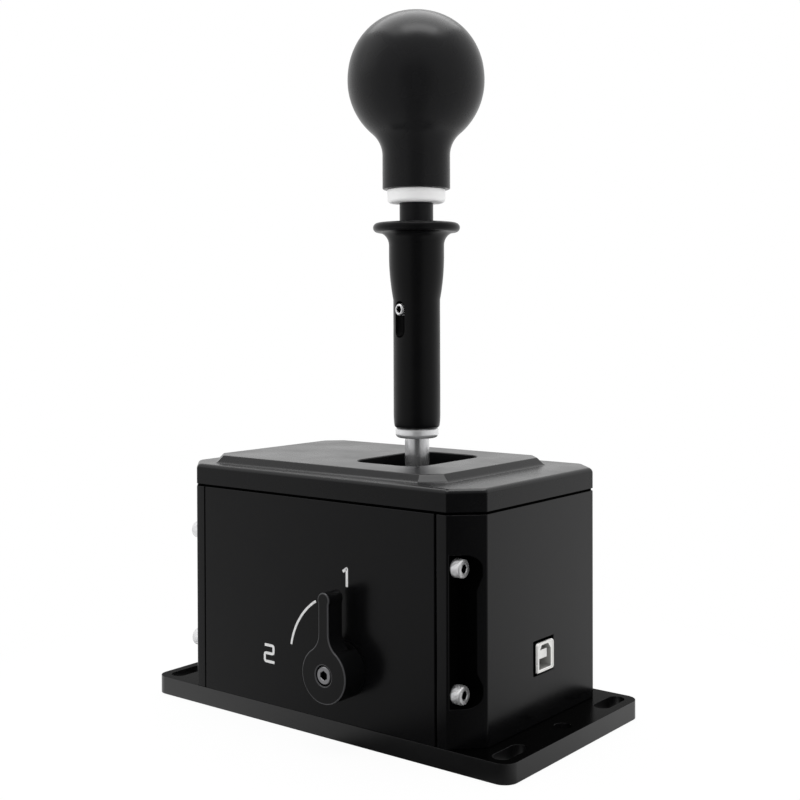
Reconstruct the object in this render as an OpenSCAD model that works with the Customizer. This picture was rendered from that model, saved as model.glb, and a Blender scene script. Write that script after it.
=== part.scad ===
// Dual-mode gear shifter for a racing simulator.
// A closed box of machined plates carries a ball-topped lever on a two-axis pivot.
// X runs along the box towards the data socket, Y across it, Z is up.
// The origin is at the middle of the underside of the base plate.

/* [Housing] */
// Length of the box over its two end plates
body_length = 150; // [144:1:170]
// Width of the box over its two side panels
body_width = 97; // [95:1:110]
// Height of the end plates and side panels
wall_height = 84; // [82:1:96]
// Thickness of each end plate
end_thickness = 15; // [14.5:0.5:17]
// Thickness of each side panel
panel_thickness = 9; // [8.5:0.5:10]
// Size of the chamfer down each upright corner
corner_chamfer = 10.5; // [9.5:0.1:11.5]
// Distance of the corner screws from the top and bottom of the walls
corner_screw_inset = 19.3; // [14:0.1:26]
// Step from the start of a corner's chamfer to the seats of its screws
corner_seat_step = 0.7; // [0.4:0.1:1.6]
// Room around the heads of the corner screws in their pocket
pocket_room = 1.3; // [0.3:0.1:1.4]

/* [Base plate] */
// Length of each mounting flange beyond the box
flange_length = 15.7; // [14.5:0.1:30]
// Thickness of the base plate
base_thickness = 7.4; // [7:0.2:10]
// Radius of the base plate's corners
base_corner_r = 5.6; // [3:0.1:8]
// Width of the four mounting slots
slot_width = 7; // [6:0.5:8]
// Length of the four mounting slots
slot_length = 18; // [12:1:22]
// Distance from a flange's end to the middle of its slots
slot_inset = 7.3; // [6:0.1:8]
// Distance from the side of the base plate to the middle of a slot
slot_edge = 12.5; // [12:0.5:20]
// Diameter of the plain hole in the middle of each flange
flange_hole_d = 6.6; // [4:0.2:8]

/* [Lid] */
// Thickness of the lid at its ledge
lid_thickness = 9.2; // [8.6:0.2:12]
// Height of the raised part above the ledge
plateau_height = 3; // [2:0.2:5]
// Rounding of the lid's upper edge
lid_edge = 1.9; // [1:0.1:2.5]
// Width of the ledge on the long sides
ledge_side = 6.6; // [5:0.2:9]
// Width of the ledge at the plain end
ledge_plain = 7.4; // [5:0.2:10]
// Width of the ledge at the socket end
ledge_socket = 20.2; // [14:0.2:22]
// Run of the bevel up to the raised part
bevel_run = 2.9; // [2:0.1:4]
// Corner chamfer of the raised part's flat top
plateau_chamfer = 6.4; // [4:0.2:8]
// Length of the lever window along X
window_length = 34.2; // [31:0.1:36]
// Width of the lever window along Y
window_width = 47.4; // [44:0.1:49]
// Radius of the lever window's corners
window_r = 8.5; // [4:0.1:10]
// How far the window's middle lies off the lever, along Y
window_shift = 0.6; // [0:0.1:1.4]

/* [Lever pivot] */
// Position of the lever along X
lever_x = 14.6; // [12:0.2:17]
// Height of both pivot axes above the ground
pivot_height = 35; // [34:0.5:37]
// Swing of the lever each way when a gear is engaged
shift_angle = 7.5; // [5:0.5:7.5]
// Swing of the lever each way when a plane is selected
select_angle = 11.2; // [10.6:0.1:11.2]
// Thickness of the gate plate
gate_thickness = 4; // [3:0.5:4.5]
// Width of the lever hub along Y
hub_width = 14; // [13:0.5:15]
// Length of the lever hub along X
hub_length = 21; // [19:0.5:22]
// Wall of the yoke on its long sides
yoke_wall_x = 6; // [5:0.5:7]
// Wall of the yoke at its shafts
yoke_wall_y = 6.5; // [6:0.5:7]
// Height of the yoke
yoke_height = 12; // [11.5:0.5:13]
// Diameter of the two hollow shift shafts
shift_shaft_d = 10; // [9:0.5:10.5]
// Diameter of the select pin
select_pin_d = 6; // [5:0.5:6.5]
// Thickness of each bearing block
block_thickness = 8; // [7:0.5:8.5]
// Radius of each bearing block's rounded top
block_radius = 13; // [12:0.5:14]

/* [Lever] */
// Diameter of the lever rod where it shows
rod_d = 10; // [9:0.5:10]
// Diameter of the rod's neck through the gate
neck_d = 7; // [6:0.5:7]
// Height of the underside of the chrome stop collar
collar_z = 112.4; // [111:0.5:118]
// Height of the chrome stop collar
collar_height = 3.8; // [3:0.2:6]
// Radius of the chrome stop collar
collar_r = 8.8; // [8:0.1:9.2]
// Length of the pull sleeve with its flange
sleeve_length = 83.7; // [80:0.1:95]
// Radius of the pull sleeve's straight part
sleeve_r = 9.6; // [9.4:0.1:10]
// Radius of the pull sleeve's wider upper part
sleeve_top_r = 11.3; // [10.9:0.1:12]
// Radius of the finger flange
flange_r = 17.8; // [15:0.1:20]
// Thickness of the finger flange at its rim
flange_rim = 3.9; // [2.5:0.1:4.4]
// Height of the trumpet that ends in the finger flange
trumpet_height = 9.2; // [8:0.1:12]
// Distance from the sleeve's top down to the foot of its swelling
swell_foot = 31.4; // [24:0.1:34]
// Distance from the sleeve's top down to the end of its swelling
swell_end = 13.2; // [12.4:0.1:18]
// Lift of the pull sleeve that lets reverse in
pull_travel = 6; // [4:0.5:6]
// Radius of the stem between sleeve and knob
stem_r = 6.9; // [6.8:0.1:7.2]
// Height of the gap in which the stem shows
stem_gap = 8.1; // [6.6:0.1:10]
// Direction of the guide slot, turned from the selector side
guide_turn = 10; // [0:1:45]
// Width of the guide slot in the sleeve
guide_slot_width = 5.4; // [5.2:0.1:6.2]
// Length of the guide slot in the sleeve
guide_slot_length = 15; // [13:0.1:16]

/* [Knob] */
// Radius of the bright ring under the knob
ring_r = 11.9; // [11:0.1:12.5]
// Height of the bright ring under the knob
ring_height = 5.6; // [4:0.2:8]
// Radius of the knob's ball
ball_r = 28; // [24:0.5:30]
// Radius of the knob's neck
knob_neck_r = 13.85; // [13:0.05:15]
// Height of the ball's centre above the knob's underside
ball_height = 44.3; // [40:0.5:50]
// Height of the knob's crown above the ball's centre
crown_height = 28.45; // [24:0.05:31]
// Fullness of the crown, where 2 is an ellipse
crown_fullness = 2.1; // [2:0.05:2.4]
// Radius of the hollow where the neck runs into the ball
knob_blend_r = 12; // [8:0.5:14]

/* [Mode selector] */
// Position of the selector's axis along X
selector_x = 16.4; // [16:0.1:17]
// Height of the selector's axis above the ground
selector_z = 28.3; // [28:0.1:29]
// How far the selector's face stands proud of the side panel
selector_proud = 12; // [11:0.5:15]
// Radius of the selector's round hub
selector_r = 10.7; // [10:0.1:12]
// Length of the grip above the selector's axis
grip_length = 31; // [26:0.5:34]
// Width of the grip's round tip
grip_width = 5.6; // [5:0.1:6.5]
// Depth of the grip, front to back
grip_depth = 8; // [6:0.5:9.5]
// Diameter of the selector's shaft
selector_shaft_d = 8; // [7:0.5:8]
// Travel of the lock plunger over the selector's quarter turn
plunger_travel = 4; // [3:0.5:4]
// Diameter of the lock plunger
plunger_d = 5; // [4:0.5:5]

/* [Electronics] */
// Height of the data socket's centre above the ground
port_z = 32.5; // [32.3:0.1:34]
// Width of the data socket's shell
port_width = 12; // [11.5:0.1:12.5]
// Height of the data socket's shell
port_height = 11.4; // [10.6:0.1:11.8]
// Gap on each side of the shell in the end plate
port_gap = 1.15; // [0.6:0.05:1.8]
// Gap above and below the shell in the end plate
port_gap_z = 0.9; // [0.6:0.1:1.6]
// How far the shell stands out of the end plate
port_proud = 1.1; // [0.4:0.1:1.5]
// Thickness of the circuit boards
board_thickness = 1.6; // [1.2:0.2:2]
// Height of the standoffs under the main board
standoff_height = 2.5; // [2:0.5:3.5]

/* [Hidden] */
$fn = 64;
tiny = 0.01;
quarter = 90;
// Least gap between pieces that move past each other
gap = 0.3;
// Radial play of a shaft that turns in a bush
running = 0.05;
// Radial play of a screw in its through hole
screw_play = 0.2;

black = [0.09, 0.09, 0.1];
dark_steel = [0.3, 0.3, 0.32];
bright_steel = [0.78, 0.78, 0.8];
bronze = [0.66, 0.5, 0.3];

half_l = body_length / 2;
half_w = body_width / 2;
inner_x = half_l - end_thickness;
inner_y = half_w - panel_thickness;
panel_mid = half_w - panel_thickness / 2;
lid_z = base_thickness + wall_height;
ledge_z = lid_z + lid_thickness;
plateau_z = ledge_z + plateau_height;

base_length = body_length + 2 * flange_length;
slot_x = base_length / 2 - slot_inset;
slot_y = half_w - slot_edge;

// M4 and M5 screw sizes
m4_r = 2;
m4_head_r = 3.5;
m4_head_h = 4;
m5_r = 2.5;
m5_head_r = 4.25;
m5_head_h = 3.5;
pocket_r = m4_head_r + pocket_room;
pocket_neck = 3.25;
pocket_straight = 2.9;
pocket_flare = 7.9;
corner_seat_x = half_l - corner_chamfer + corner_seat_step;
corner_screw_floor = corner_seat_x - inner_x;
corner_screw_bite = 11.8;
corner_screw_length = corner_screw_floor + corner_screw_bite;
corner_screw_z = [base_thickness + corner_screw_inset, lid_z - corner_screw_inset];
tie_x = half_l - end_thickness / 2;
tie_y = 32;
tie_depth = 7;
panel_screw_x = 40;
panel_screw_depth = 10;

// The gate's three planes
gate_play = 0.6;
gate_arm = lid_z - gate_thickness / 2 - pivot_height;
plane_pitch = gate_arm * tan(select_angle);
gate_slot_r = neck_d / 2 / cos(select_angle) + gate_thickness / 2 * tan(select_angle) + gate_play;
gate_throw = gate_arm * tan(shift_angle);
gate_length = 54;
gate_width = 62;
gate_screw_x = 22;
gate_screw_y = 26;
gate_screw_depth = 7;

// The pivot, from the lever outwards
yoke_in_x = hub_length / 2 + 0.5;
yoke_out_x = yoke_in_x + yoke_wall_x;
yoke_in_y = hub_width / 2 + 5;
yoke_out_y = yoke_in_y + yoke_wall_y;
bush_wall = 2;
bush_flange = 1.2;
bush_flange_r = shift_shaft_d / 2 + bush_wall + 2.5;
block_in_y = yoke_out_y + gap + bush_flange;
block_out_y = block_in_y + block_thickness;
block_screw_x = 8;
block_screw_depth = 10;
hub_low = 9;
hub_high = 10;
hub_top = 18;
hub_boss_r = 8;
tail_r = 4;
tail_length = 8;
spring_z = pivot_height - hub_low - tail_length / 2;
centring_coil_r = 2.6;
centring_wire = 0.9;
ear_thickness = 3;
ear_drop = 11;
rod_seat = 11.5;
rod_low = pivot_height + hub_top - rod_seat;
pin_bush_r = select_pin_d / 2 + 1.5;
pin_bush_length = 7;
magnet_r = 3;
magnet_height = 3;

// The lever, upwards
rod_step_z = lid_z + 2.5;
rod_cone = 2;
sleeve_z = collar_z + collar_height + gap;
sleeve_top = sleeve_z + sleeve_length;
chamber_rise = 53.5;
chamber_z = sleeve_z + chamber_rise;
chamber_r = stem_r + gap;
sleeve_spring_room = 20;
stem_z = chamber_z + sleeve_spring_room;
ring_z = sleeve_top + stem_gap;
knob_z = ring_z + ring_height;
ball_z = knob_z + ball_height;
rod_top = knob_z + 25;
guide_slot_rise = 36.8;
guide_slot_low = sleeve_z + guide_slot_rise;
guide_slot_high = guide_slot_low + guide_slot_length;
guide_screw_drop = 3.5;
guide_screw_z = guide_slot_high - guide_screw_drop;
guide_head_r = guide_slot_width / 2 - gap;
sleeve_foot_r = 9;
sleeve_foot_height = 5.6;
sleeve_foot_edge = 0.4;
collar_cone = 2;

// The selector, its face cam and the lock plunger on the shift axis
selector_back = half_w + 0.4;
selector_face = half_w + selector_proud;
selector_socket = 6;
selector_thread = 6;
bush_r = selector_shaft_d / 2 + 2;
cam_r = 10.2;
cam_thickness = 2.5;
cam_pocket_r = cam_r + 0.8;
cam_pocket_depth = 4;
cam_back = half_w - panel_thickness + cam_pocket_depth - gap;
cam_face = cam_back - cam_thickness;
follower = [lever_x - selector_x, pivot_height - selector_z];
follower_angle = atan2(follower[1], follower[0]);
plunger_stop = 1.2;
plunger_nose = hub_width / 2 + plunger_stop + plunger_travel;
// The ramp is as steep as 20 degrees, so the round tail needs more than the least gap here
plunger_tail = cam_face - 0.7;
plunger_collar_r = 4.2;
plunger_collar_h = 1;
plunger_collar_y = plunger_tail - 3;
plunger_coil_r = plunger_d / 2 + 1.1;
plunger_wire = 0.7;
shaft_in_y = yoke_in_y;
shaft_front_y = block_out_y + 0.5;

// The detent behind the rear bearing block
sector_r = 24;
sector_hub_r = shift_shaft_d / 2 + 4;
sector_thickness = 4;
sector_y = block_out_y + 2 * gap;
shaft_rear_y = sector_y + sector_thickness;
notch_side = 1.9;
notch_r = sector_r + 0.4;
detent_block_size = [12, 8];
detent_block_rise = 6;
detent_block_x = lever_x - sector_r - detent_block_size[0];
detent_screw_d = 6;
detent_ball_r = 2;
detent_reach = 4;

// The boards, their M2.5 screws and the standoffs
m25_r = 1.25;
m25_head_r = 2.2;
m25_head_h = 1.6;
standoff_r = 2.5;
board_z = base_thickness + standoff_height;
board_top = board_z + board_thickness;
board_low_x = lever_x - 20;
board_high_x = inner_x - 3;
board_half_y = block_in_y - 3;
board_hole_r = m25_r + screw_play;
board_hole_inset = 3.5;
port_low = port_z - port_height / 2;
socket_board_z = port_low - board_thickness;
standoff_thread = 6;
controller_x = (lever_x + board_high_x) / 2 + 4;
chip_height = 1;
sensor_side = 5;
controller_side = 7;
crystal_width = 3.2;
crystal_length = 5;
crystal_height = 1.6;
socket_low_x = inner_x - 14;
socket_high_x = half_l - 5;
socket_half_y = 11;
socket_length = 17.5;
end_pocket_x = half_l - 4.5;
shell_wall = 0.5;

// Points on an arc about c, from angle a0 to a1
function arc(c, r, a0, a1, n) =
    [for (i = [0:n]) let (a = a0 + (a1 - a0) * i / n) c + r * [cos(a), sin(a)]];

// Places children with their Z axis along +X, +Y or -Y
module along_x(p) translate(p) rotate([0, 90, 0]) children();
module along_y(p) translate(p) rotate([-90, 0, 0]) children();
module along_minus_y(p) translate(p) rotate([90, 0, 0]) children();

// Copies children to both signs of X, of Y, or of both
module both_x() for (s = [0, 1]) mirror([s, 0, 0]) children();
module both_y() for (s = [0, 1]) mirror([0, s, 0]) children();
module four() both_x() both_y() children();

// A socket-head screw whose head stands on z = 0 and whose shank runs down
module cap_screw(r, head_r, head_h, length, socket) {
    difference() {
        union() {
            cylinder(r = head_r, h = head_h);
            translate([0, 0, -length]) cylinder(r = r, h = length + tiny);
        }
        translate([0, 0, head_h - r]) cylinder(d = socket / cos(30), h = r + 1, $fn = 6);
    }
}

// A countersunk screw whose head lies flush in z = 0 and whose shank runs down
module flat_screw(r, length, socket) {
    difference() {
        union() {
            translate([0, 0, -r]) cylinder(r1 = r, r2 = 2 * r, h = r);
            translate([0, 0, -length]) cylinder(r = r, h = length - r + tiny);
        }
        translate([0, 0, -r]) cylinder(d = socket / cos(30), h = r + 1, $fn = 6);
    }
}

// The hole for such a screw
module flat_screw_hole(r, length) {
    translate([0, 0, -r]) cylinder(r1 = r + screw_play, r2 = 2 * r + screw_play, h = r + tiny);
    translate([0, 0, -length]) cylinder(r = r + screw_play, h = length);
}

// A helical compression spring of round wire, standing on z = 0
module coil(radius, wire, turns, height) {
    sides = 6;
    steps = turns * 12;
    rise = height - wire;
    points = [for (i = [0:steps], j = [0:sides - 1])
        let (a = 360 * turns * i / steps, b = 360 * j / sides, r = radius + wire / 2 * cos(b))
        [r * cos(a), r * sin(a), wire / 2 + rise * i / steps + wire / 2 * sin(b)]];
    walls = [for (i = [0:steps - 1], j = [0:sides - 1])
        let (a = i * sides + j, b = i * sides + (j + 1) % sides)
        each [[a, b, b + sides], [a, b + sides, a + sides]]];
    first = [for (j = [sides - 1:-1:0]) j];
    last = [for (j = [0:sides - 1]) steps * sides + j];
    polyhedron(points, concat(walls, [first, last]), convexity = 8);
}

// A rectangle with its corners rounded
module round_rect(size, r) {
    for (x = [-1, 1], y = [-1, 1])
        translate([x * (size[0] / 2 - r), y * (size[1] / 2 - r)]) circle(r);
    square([size[0] - 2 * r, size[1]], center = true);
    square([size[0], size[1] - 2 * r], center = true);
}

// A slot with round ends that runs along X
module slot(length, width) {
    square([length - width, width], center = true);
    for (s = [-1, 1]) translate([s * (length - width) / 2, 0]) circle(d = width);
}

// A rectangle with its corners cut
module cut_rect(low, high, c) {
    polygon([
        [low[0] + c, low[1]], [high[0] - c, low[1]], [high[0], low[1] + c], [high[0], high[1] - c],
        [high[0] - c, high[1]], [low[0] + c, high[1]], [low[0], high[1] - c], [low[0], low[1] + c]
    ]);
}

// Housing

module base_slots() {
    for (x = [-slot_x, slot_x]) {
        for (y = [-slot_y, slot_y]) translate([x, y]) rotate(90) slot(slot_length, slot_width);
        translate([x, 0]) circle(d = flange_hole_d);
    }
}

module base_plate() {
    color(black) difference() {
        linear_extrude(base_thickness) difference() {
            round_rect([base_length, body_width], base_corner_r);
            base_slots();
        }
        four() translate([tie_x, tie_y, -tiny]) {
            cylinder(r = m5_r + screw_play, h = base_thickness + 1);
            cylinder(r = m5_head_r + screw_play, h = m5_head_h + 2 * screw_play + tiny);
        }
        four() translate([panel_screw_x, panel_mid, 0]) mirror([0, 0, 1])
            flat_screw_hole(m4_r, base_thickness + 1);
        block_screw_places() mirror([0, 0, 1]) flat_screw_hole(m4_r, base_thickness + 1);
    }
}

// The plan of an end plate at the +X end
module end_plan() {
    polygon([
        [inner_x, -half_w], [half_l - corner_chamfer, -half_w], [half_l, corner_chamfer - half_w],
        [half_l, half_w - corner_chamfer], [half_l - corner_chamfer, half_w], [inner_x, half_w]
    ]);
}

// The outline of the pocket in a chamfered corner, Y to the side and Z up. It is wide around the two
// screw heads and narrower between them, and it runs out of the chamfer on its outer side.
module pocket_plan() {
    low = corner_screw_z[0];
    high = corner_screw_z[1];
    outer = pocket_r + 1;
    for (z = corner_screw_z) translate([panel_mid, z]) {
        circle(pocket_r);
        translate([0, -pocket_r]) square([outer, 2 * pocket_r]);
    }
    translate([panel_mid, 0]) polygon([
        [-pocket_r, low], [-pocket_r, low + pocket_straight], [-pocket_neck, low + pocket_flare],
        [-pocket_neck, high - pocket_flare], [-pocket_r, high - pocket_straight], [-pocket_r, high],
        [outer, high], [outer, low]
    ]);
}

module corner_pocket() {
    translate([corner_seat_x, 0, 0]) rotate([90, 0, 90]) linear_extrude(end_thickness) pocket_plan();
    for (z = corner_screw_z) along_x([inner_x - 1, panel_mid, z])
        cylinder(r = m4_r + screw_play, h = corner_screw_floor + 2);
}

module end_plate() {
    difference() {
        translate([0, 0, base_thickness]) linear_extrude(wall_height) end_plan();
        both_y() corner_pocket();
        both_y() translate([tie_x, tie_y, base_thickness - 1])
            cylinder(r = m5_r + screw_play, h = wall_height + 2);
    }
}

module end_plate_socket() {
    color(black) difference() {
        end_plate();
        translate([half_l - end_thickness / 2, 0, port_z])
            cube([end_thickness + 2, port_width + 2 * port_gap, port_height + 2 * port_gap_z], center = true);
        translate([inner_x - 1, -socket_half_y - 1, socket_board_z - 3])
            cube([end_pocket_x - inner_x + 1, 2 * socket_half_y + 2, port_height + board_thickness + 6]);
    }
}

module end_plate_plain() {
    color(black) mirror([1, 0, 0]) end_plate();
}

// A side panel on the +Y side
module side_panel() {
    difference() {
        translate([-inner_x, inner_y, base_thickness]) cube([2 * inner_x, panel_thickness, wall_height]);
        for (z = corner_screw_z) both_x()
            along_x([inner_x - corner_screw_length + corner_screw_floor, panel_mid, z])
                cylinder(r = m4_r, h = corner_screw_length);
        both_x() translate([panel_screw_x, panel_mid, base_thickness - 1])
            cylinder(r = m4_r, h = panel_screw_depth + 1);
    }
}

module side_panel_plain() {
    color(black) side_panel();
}

module side_panel_selector() {
    color(black) difference() {
        mirror([0, 1, 0]) side_panel();
        along_y([selector_x, -half_w - 1, selector_z]) cylinder(r = bush_r, h = panel_thickness + 2);
        along_y([selector_x, -inner_y - cam_pocket_depth, selector_z])
            cylinder(r = cam_pocket_r, h = cam_pocket_depth + 1);
    }
}

module lid_plan(inset) {
    cut_rect([inset - half_l, inset - half_w], [half_l - inset, half_w - inset], corner_chamfer - inset / 2);
}

// The plan of the raised part at a distance in from its foot, with even bevels on all eight sides
module plateau_plan(inset) {
    cut_rect(
        [ledge_plain + inset - half_l, ledge_side + inset - half_w],
        [half_l - ledge_socket - inset, half_w - ledge_side - inset],
        plateau_chamfer + (bevel_run - inset) * (2 - sqrt(2)));
}

module window(z, height) {
    translate([lever_x, window_shift, z])
        linear_extrude(height) round_rect([window_length, window_width], window_r);
}

module lid() {
    color(black) difference() {
        union() {
            translate([0, 0, lid_z]) linear_extrude(lid_thickness - lid_edge) lid_plan(0);
            hull() {
                translate([0, 0, ledge_z - lid_edge - tiny]) linear_extrude(tiny) lid_plan(0);
                translate([0, 0, ledge_z - lid_edge * 0.3]) linear_extrude(tiny) lid_plan(lid_edge * 0.3);
                translate([0, 0, ledge_z - tiny]) linear_extrude(tiny) lid_plan(lid_edge);
            }
            hull() {
                translate([0, 0, ledge_z - tiny]) linear_extrude(tiny) plateau_plan(0);
                translate([0, 0, plateau_z - tiny]) linear_extrude(tiny) plateau_plan(bevel_run);
            }
        }
        window(lid_z - 1, lid_thickness + plateau_height + 2);
        four() translate([tie_x, tie_y, lid_z - 1]) cylinder(r = m5_r, h = tie_depth + 1.5);
        gate_screw_places() cylinder(r = m4_r, h = gate_screw_depth + 0.5);
    }
}

// The lever's pattern: a cross channel and three planes
module gate_pattern() {
    for (plane = [-1:1]) translate([0, plane * plane_pitch])
        slot(2 * (gate_throw + gate_slot_r), 2 * gate_slot_r);
    rotate(90) slot(2 * (plane_pitch + gate_slot_r), 2 * gate_slot_r);
}

module gate_plate() {
    color(dark_steel) translate([0, 0, lid_z - gate_thickness]) linear_extrude(gate_thickness)
        translate([lever_x, 0]) difference() {
            round_rect([gate_length, gate_width], 4);
            gate_pattern();
            for (x = [-gate_screw_x, gate_screw_x], y = [-gate_screw_y, gate_screw_y])
                translate([x, y]) circle(m4_r + screw_play);
        }
}

// Fasteners of the housing

module corner_screws() {
    color(bright_steel) four() for (z = corner_screw_z)
        along_x([corner_seat_x, panel_mid, z])
            cap_screw(m4_r, m4_head_r, m4_head_h, corner_screw_length - 1, 3);
}

module tie_bolts() {
    color(dark_steel) four() translate([tie_x, tie_y, m5_head_h + 2 * screw_play]) mirror([0, 0, 1])
        cap_screw(m5_r, m5_head_r, m5_head_h, lid_z + tie_depth - m5_head_h - 2 * screw_play, 4);
}

module panel_screws() {
    color(dark_steel) four() translate([panel_screw_x, panel_mid, 0]) mirror([0, 0, 1])
        flat_screw(m4_r, base_thickness + panel_screw_depth - 1, 2.5);
}

module block_screw_places() {
    for (x = [-block_screw_x, block_screw_x]) both_y()
        translate([lever_x + x, block_in_y + block_thickness / 2, 0]) children();
    translate([detent_block_x, detent_y(), 0]) children();
}

module block_screws() {
    color(dark_steel) block_screw_places() mirror([0, 0, 1])
        flat_screw(m4_r, base_thickness + block_screw_depth - 1, 2.5);
}

module gate_screw_places() {
    for (x = [-gate_screw_x, gate_screw_x], y = [-gate_screw_y, gate_screw_y])
        translate([lever_x + x, y, lid_z]) children();
}

module gate_screws() {
    color(dark_steel) gate_screw_places() translate([0, 0, -gate_thickness]) mirror([0, 0, 1])
        cap_screw(m4_r, m4_head_r, 2.5, gate_thickness + gate_screw_depth, 2.5);
}

// Pivot

module bearing_blocks() {
    color(dark_steel) both_y() difference() {
        translate([lever_x, block_in_y, 0]) {
            along_y([0, 0, pivot_height]) cylinder(r = block_radius, h = block_thickness);
            translate([-block_radius, 0, base_thickness])
                cube([2 * block_radius, block_thickness, pivot_height - base_thickness]);
        }
        along_y([lever_x, block_in_y - 1, pivot_height])
            cylinder(r = shift_shaft_d / 2 + bush_wall, h = block_thickness + 2);
        for (x = [-block_screw_x, block_screw_x])
            translate([lever_x + x, block_in_y + block_thickness / 2, base_thickness - 1])
                cylinder(r = m4_r, h = block_screw_depth + 1);
    }
}

module shift_bushes() {
    color(bronze) both_y() difference() {
        union() {
            along_y([lever_x, block_in_y, pivot_height])
                cylinder(r = shift_shaft_d / 2 + bush_wall, h = block_thickness);
            along_y([lever_x, block_in_y - bush_flange, pivot_height])
                cylinder(r = bush_flange_r, h = bush_flange);
        }
        along_y([lever_x, block_in_y - bush_flange - 1, pivot_height])
            cylinder(r = shift_shaft_d / 2 + running, h = block_thickness + bush_flange + 2);
    }
}

module yoke() {
    color(dark_steel) difference() {
        union() {
            translate([lever_x, 0, pivot_height - yoke_height / 2]) linear_extrude(yoke_height) difference() {
                round_rect([2 * yoke_out_x, 2 * yoke_out_y], 4);
                round_rect([2 * yoke_in_x, 2 * yoke_in_y], 2);
            }
            both_y() translate([lever_x - tail_r, yoke_in_y, pivot_height - yoke_height / 2 - ear_drop])
                cube([2 * tail_r, ear_thickness, ear_drop + 1]);
        }
        both_y() along_y([lever_x, yoke_in_y - 1, pivot_height])
            cylinder(d = shift_shaft_d, h = yoke_wall_y + 2);
        along_x([lever_x - yoke_out_x - 1, 0, pivot_height])
            cylinder(d = select_pin_d, h = 2 * yoke_out_x + 2);
    }
}

module shift_shafts() {
    color(bright_steel) difference() {
        union() {
            along_y([lever_x, shaft_in_y, pivot_height])
                cylinder(d = shift_shaft_d, h = shaft_rear_y - shaft_in_y);
            along_y([lever_x, -shaft_front_y, pivot_height])
                cylinder(d = shift_shaft_d, h = shaft_front_y - shaft_in_y);
        }
        along_y([lever_x, -half_w, pivot_height]) cylinder(r = plunger_d / 2 + running, h = body_width);
    }
}

module select_pin() {
    color(bright_steel) along_x([lever_x - yoke_out_x, 0, pivot_height])
        cylinder(d = select_pin_d, h = 2 * yoke_out_x);
}

module lever_hub() {
    color(dark_steel) difference() {
        union() {
            translate([lever_x - hub_length / 2, -hub_width / 2, pivot_height - hub_low])
                cube([hub_length, hub_width, hub_low + hub_high]);
            translate([lever_x, 0, pivot_height + hub_high - 1])
                cylinder(r = hub_boss_r, h = hub_top - hub_high + 1);
            translate([lever_x - tail_r, -tail_r, pivot_height - hub_low - tail_length])
                cube([2 * tail_r, 2 * tail_r, tail_length + 1]);
        }
        along_x([lever_x - hub_length, 0, pivot_height])
            cylinder(r = pin_bush_r, h = 2 * hub_length);
        translate([lever_x, 0, rod_low]) cylinder(d = neck_d, h = hub_top);
        along_y([lever_x, -hub_width / 2 - 1, pivot_height])
            cylinder(r = plunger_d / 2 + running, h = 2.5);
    }
}

module select_bushes() {
    color(bronze) for (s = [0, 1]) translate([lever_x, 0, 0]) mirror([s, 0, 0])
        along_x([hub_length / 2 - pin_bush_length, 0, pivot_height]) difference() {
            cylinder(r = pin_bush_r, h = pin_bush_length);
            translate([0, 0, -1]) cylinder(r = select_pin_d / 2 + running, h = pin_bush_length + 2);
        }
}

module centring_spring_plain() {
    color(bright_steel) along_y([lever_x, tail_r + gap, spring_z])
        coil(centring_coil_r, centring_wire, 4, yoke_in_y - tail_r - gap);
}

module centring_spring_selector() {
    mirror([0, 1, 0]) centring_spring_plain();
}

module detent_sector() {
    color(dark_steel) along_y([lever_x, sector_y, pivot_height]) difference() {
        linear_extrude(sector_thickness) difference() {
            union() {
                circle(sector_hub_r);
                intersection() {
                    circle(sector_r);
                    polygon([[0, 6], [-sector_r - 1, 9], [-sector_r - 1, -9], [0, -6]]);
                }
            }
            for (a = [-shift_angle, 0, shift_angle]) rotate(a) translate([-notch_r, 0])
                rotate(45) square(notch_side, center = true);
        }
        translate([0, 0, -1]) cylinder(d = shift_shaft_d, h = sector_thickness + 2);
    }
}

function detent_y() = sector_y + sector_thickness / 2;

module detent_block() {
    size = detent_block_size;
    color(dark_steel) difference() {
        translate([detent_block_x - size[0] / 2, detent_y() - size[1] / 2, base_thickness])
            cube([size[0], size[1], pivot_height + detent_block_rise - base_thickness]);
        along_x([detent_block_x - size[0], detent_y(), pivot_height])
            cylinder(d = detent_screw_d, h = 2 * size[0]);
        translate([detent_block_x, detent_y(), base_thickness - 1])
            cylinder(r = m4_r, h = block_screw_depth + 1);
    }
}

module detent_plunger() {
    color(bright_steel) {
        along_x([detent_block_x - detent_block_size[0] / 2, detent_y(), pivot_height])
            cylinder(d = detent_screw_d, h = detent_block_size[0] + detent_reach);
        translate([lever_x - sector_r - gap - detent_ball_r, detent_y(), pivot_height]) sphere(detent_ball_r);
    }
}

module tilt_magnet() {
    color(bright_steel)
        translate([lever_x, 0, pivot_height - hub_low - tail_length - magnet_height])
            cylinder(r = magnet_r, h = magnet_height);
}

// Lever

module lever_rod() {
    color(bright_steel) difference() {
        translate([lever_x, 0, 0]) {
            translate([0, 0, rod_low]) cylinder(d = neck_d, h = rod_step_z - rod_low);
            translate([0, 0, rod_step_z]) cylinder(d1 = neck_d, d2 = rod_d, h = rod_cone);
            translate([0, 0, rod_step_z + rod_cone]) cylinder(d = rod_d, h = rod_top - rod_step_z - rod_cone);
        }
        guide_direction() translate([0, 0, rod_d / 2 - 3]) cylinder(r = 1.5, h = 4);
    }
}

// Z of the children points out of the rod at the guide screw
module guide_direction() {
    translate([lever_x, 0, guide_screw_z]) rotate([0, 0, -guide_turn]) rotate([90, 0, 0]) children();
}

module guide_screw() {
    color(bright_steel) guide_direction() translate([0, 0, rod_d / 2])
        cap_screw(1.5, guide_head_r, sleeve_r - rod_d / 2 + 0.4, 3, 2.5);
}

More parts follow.
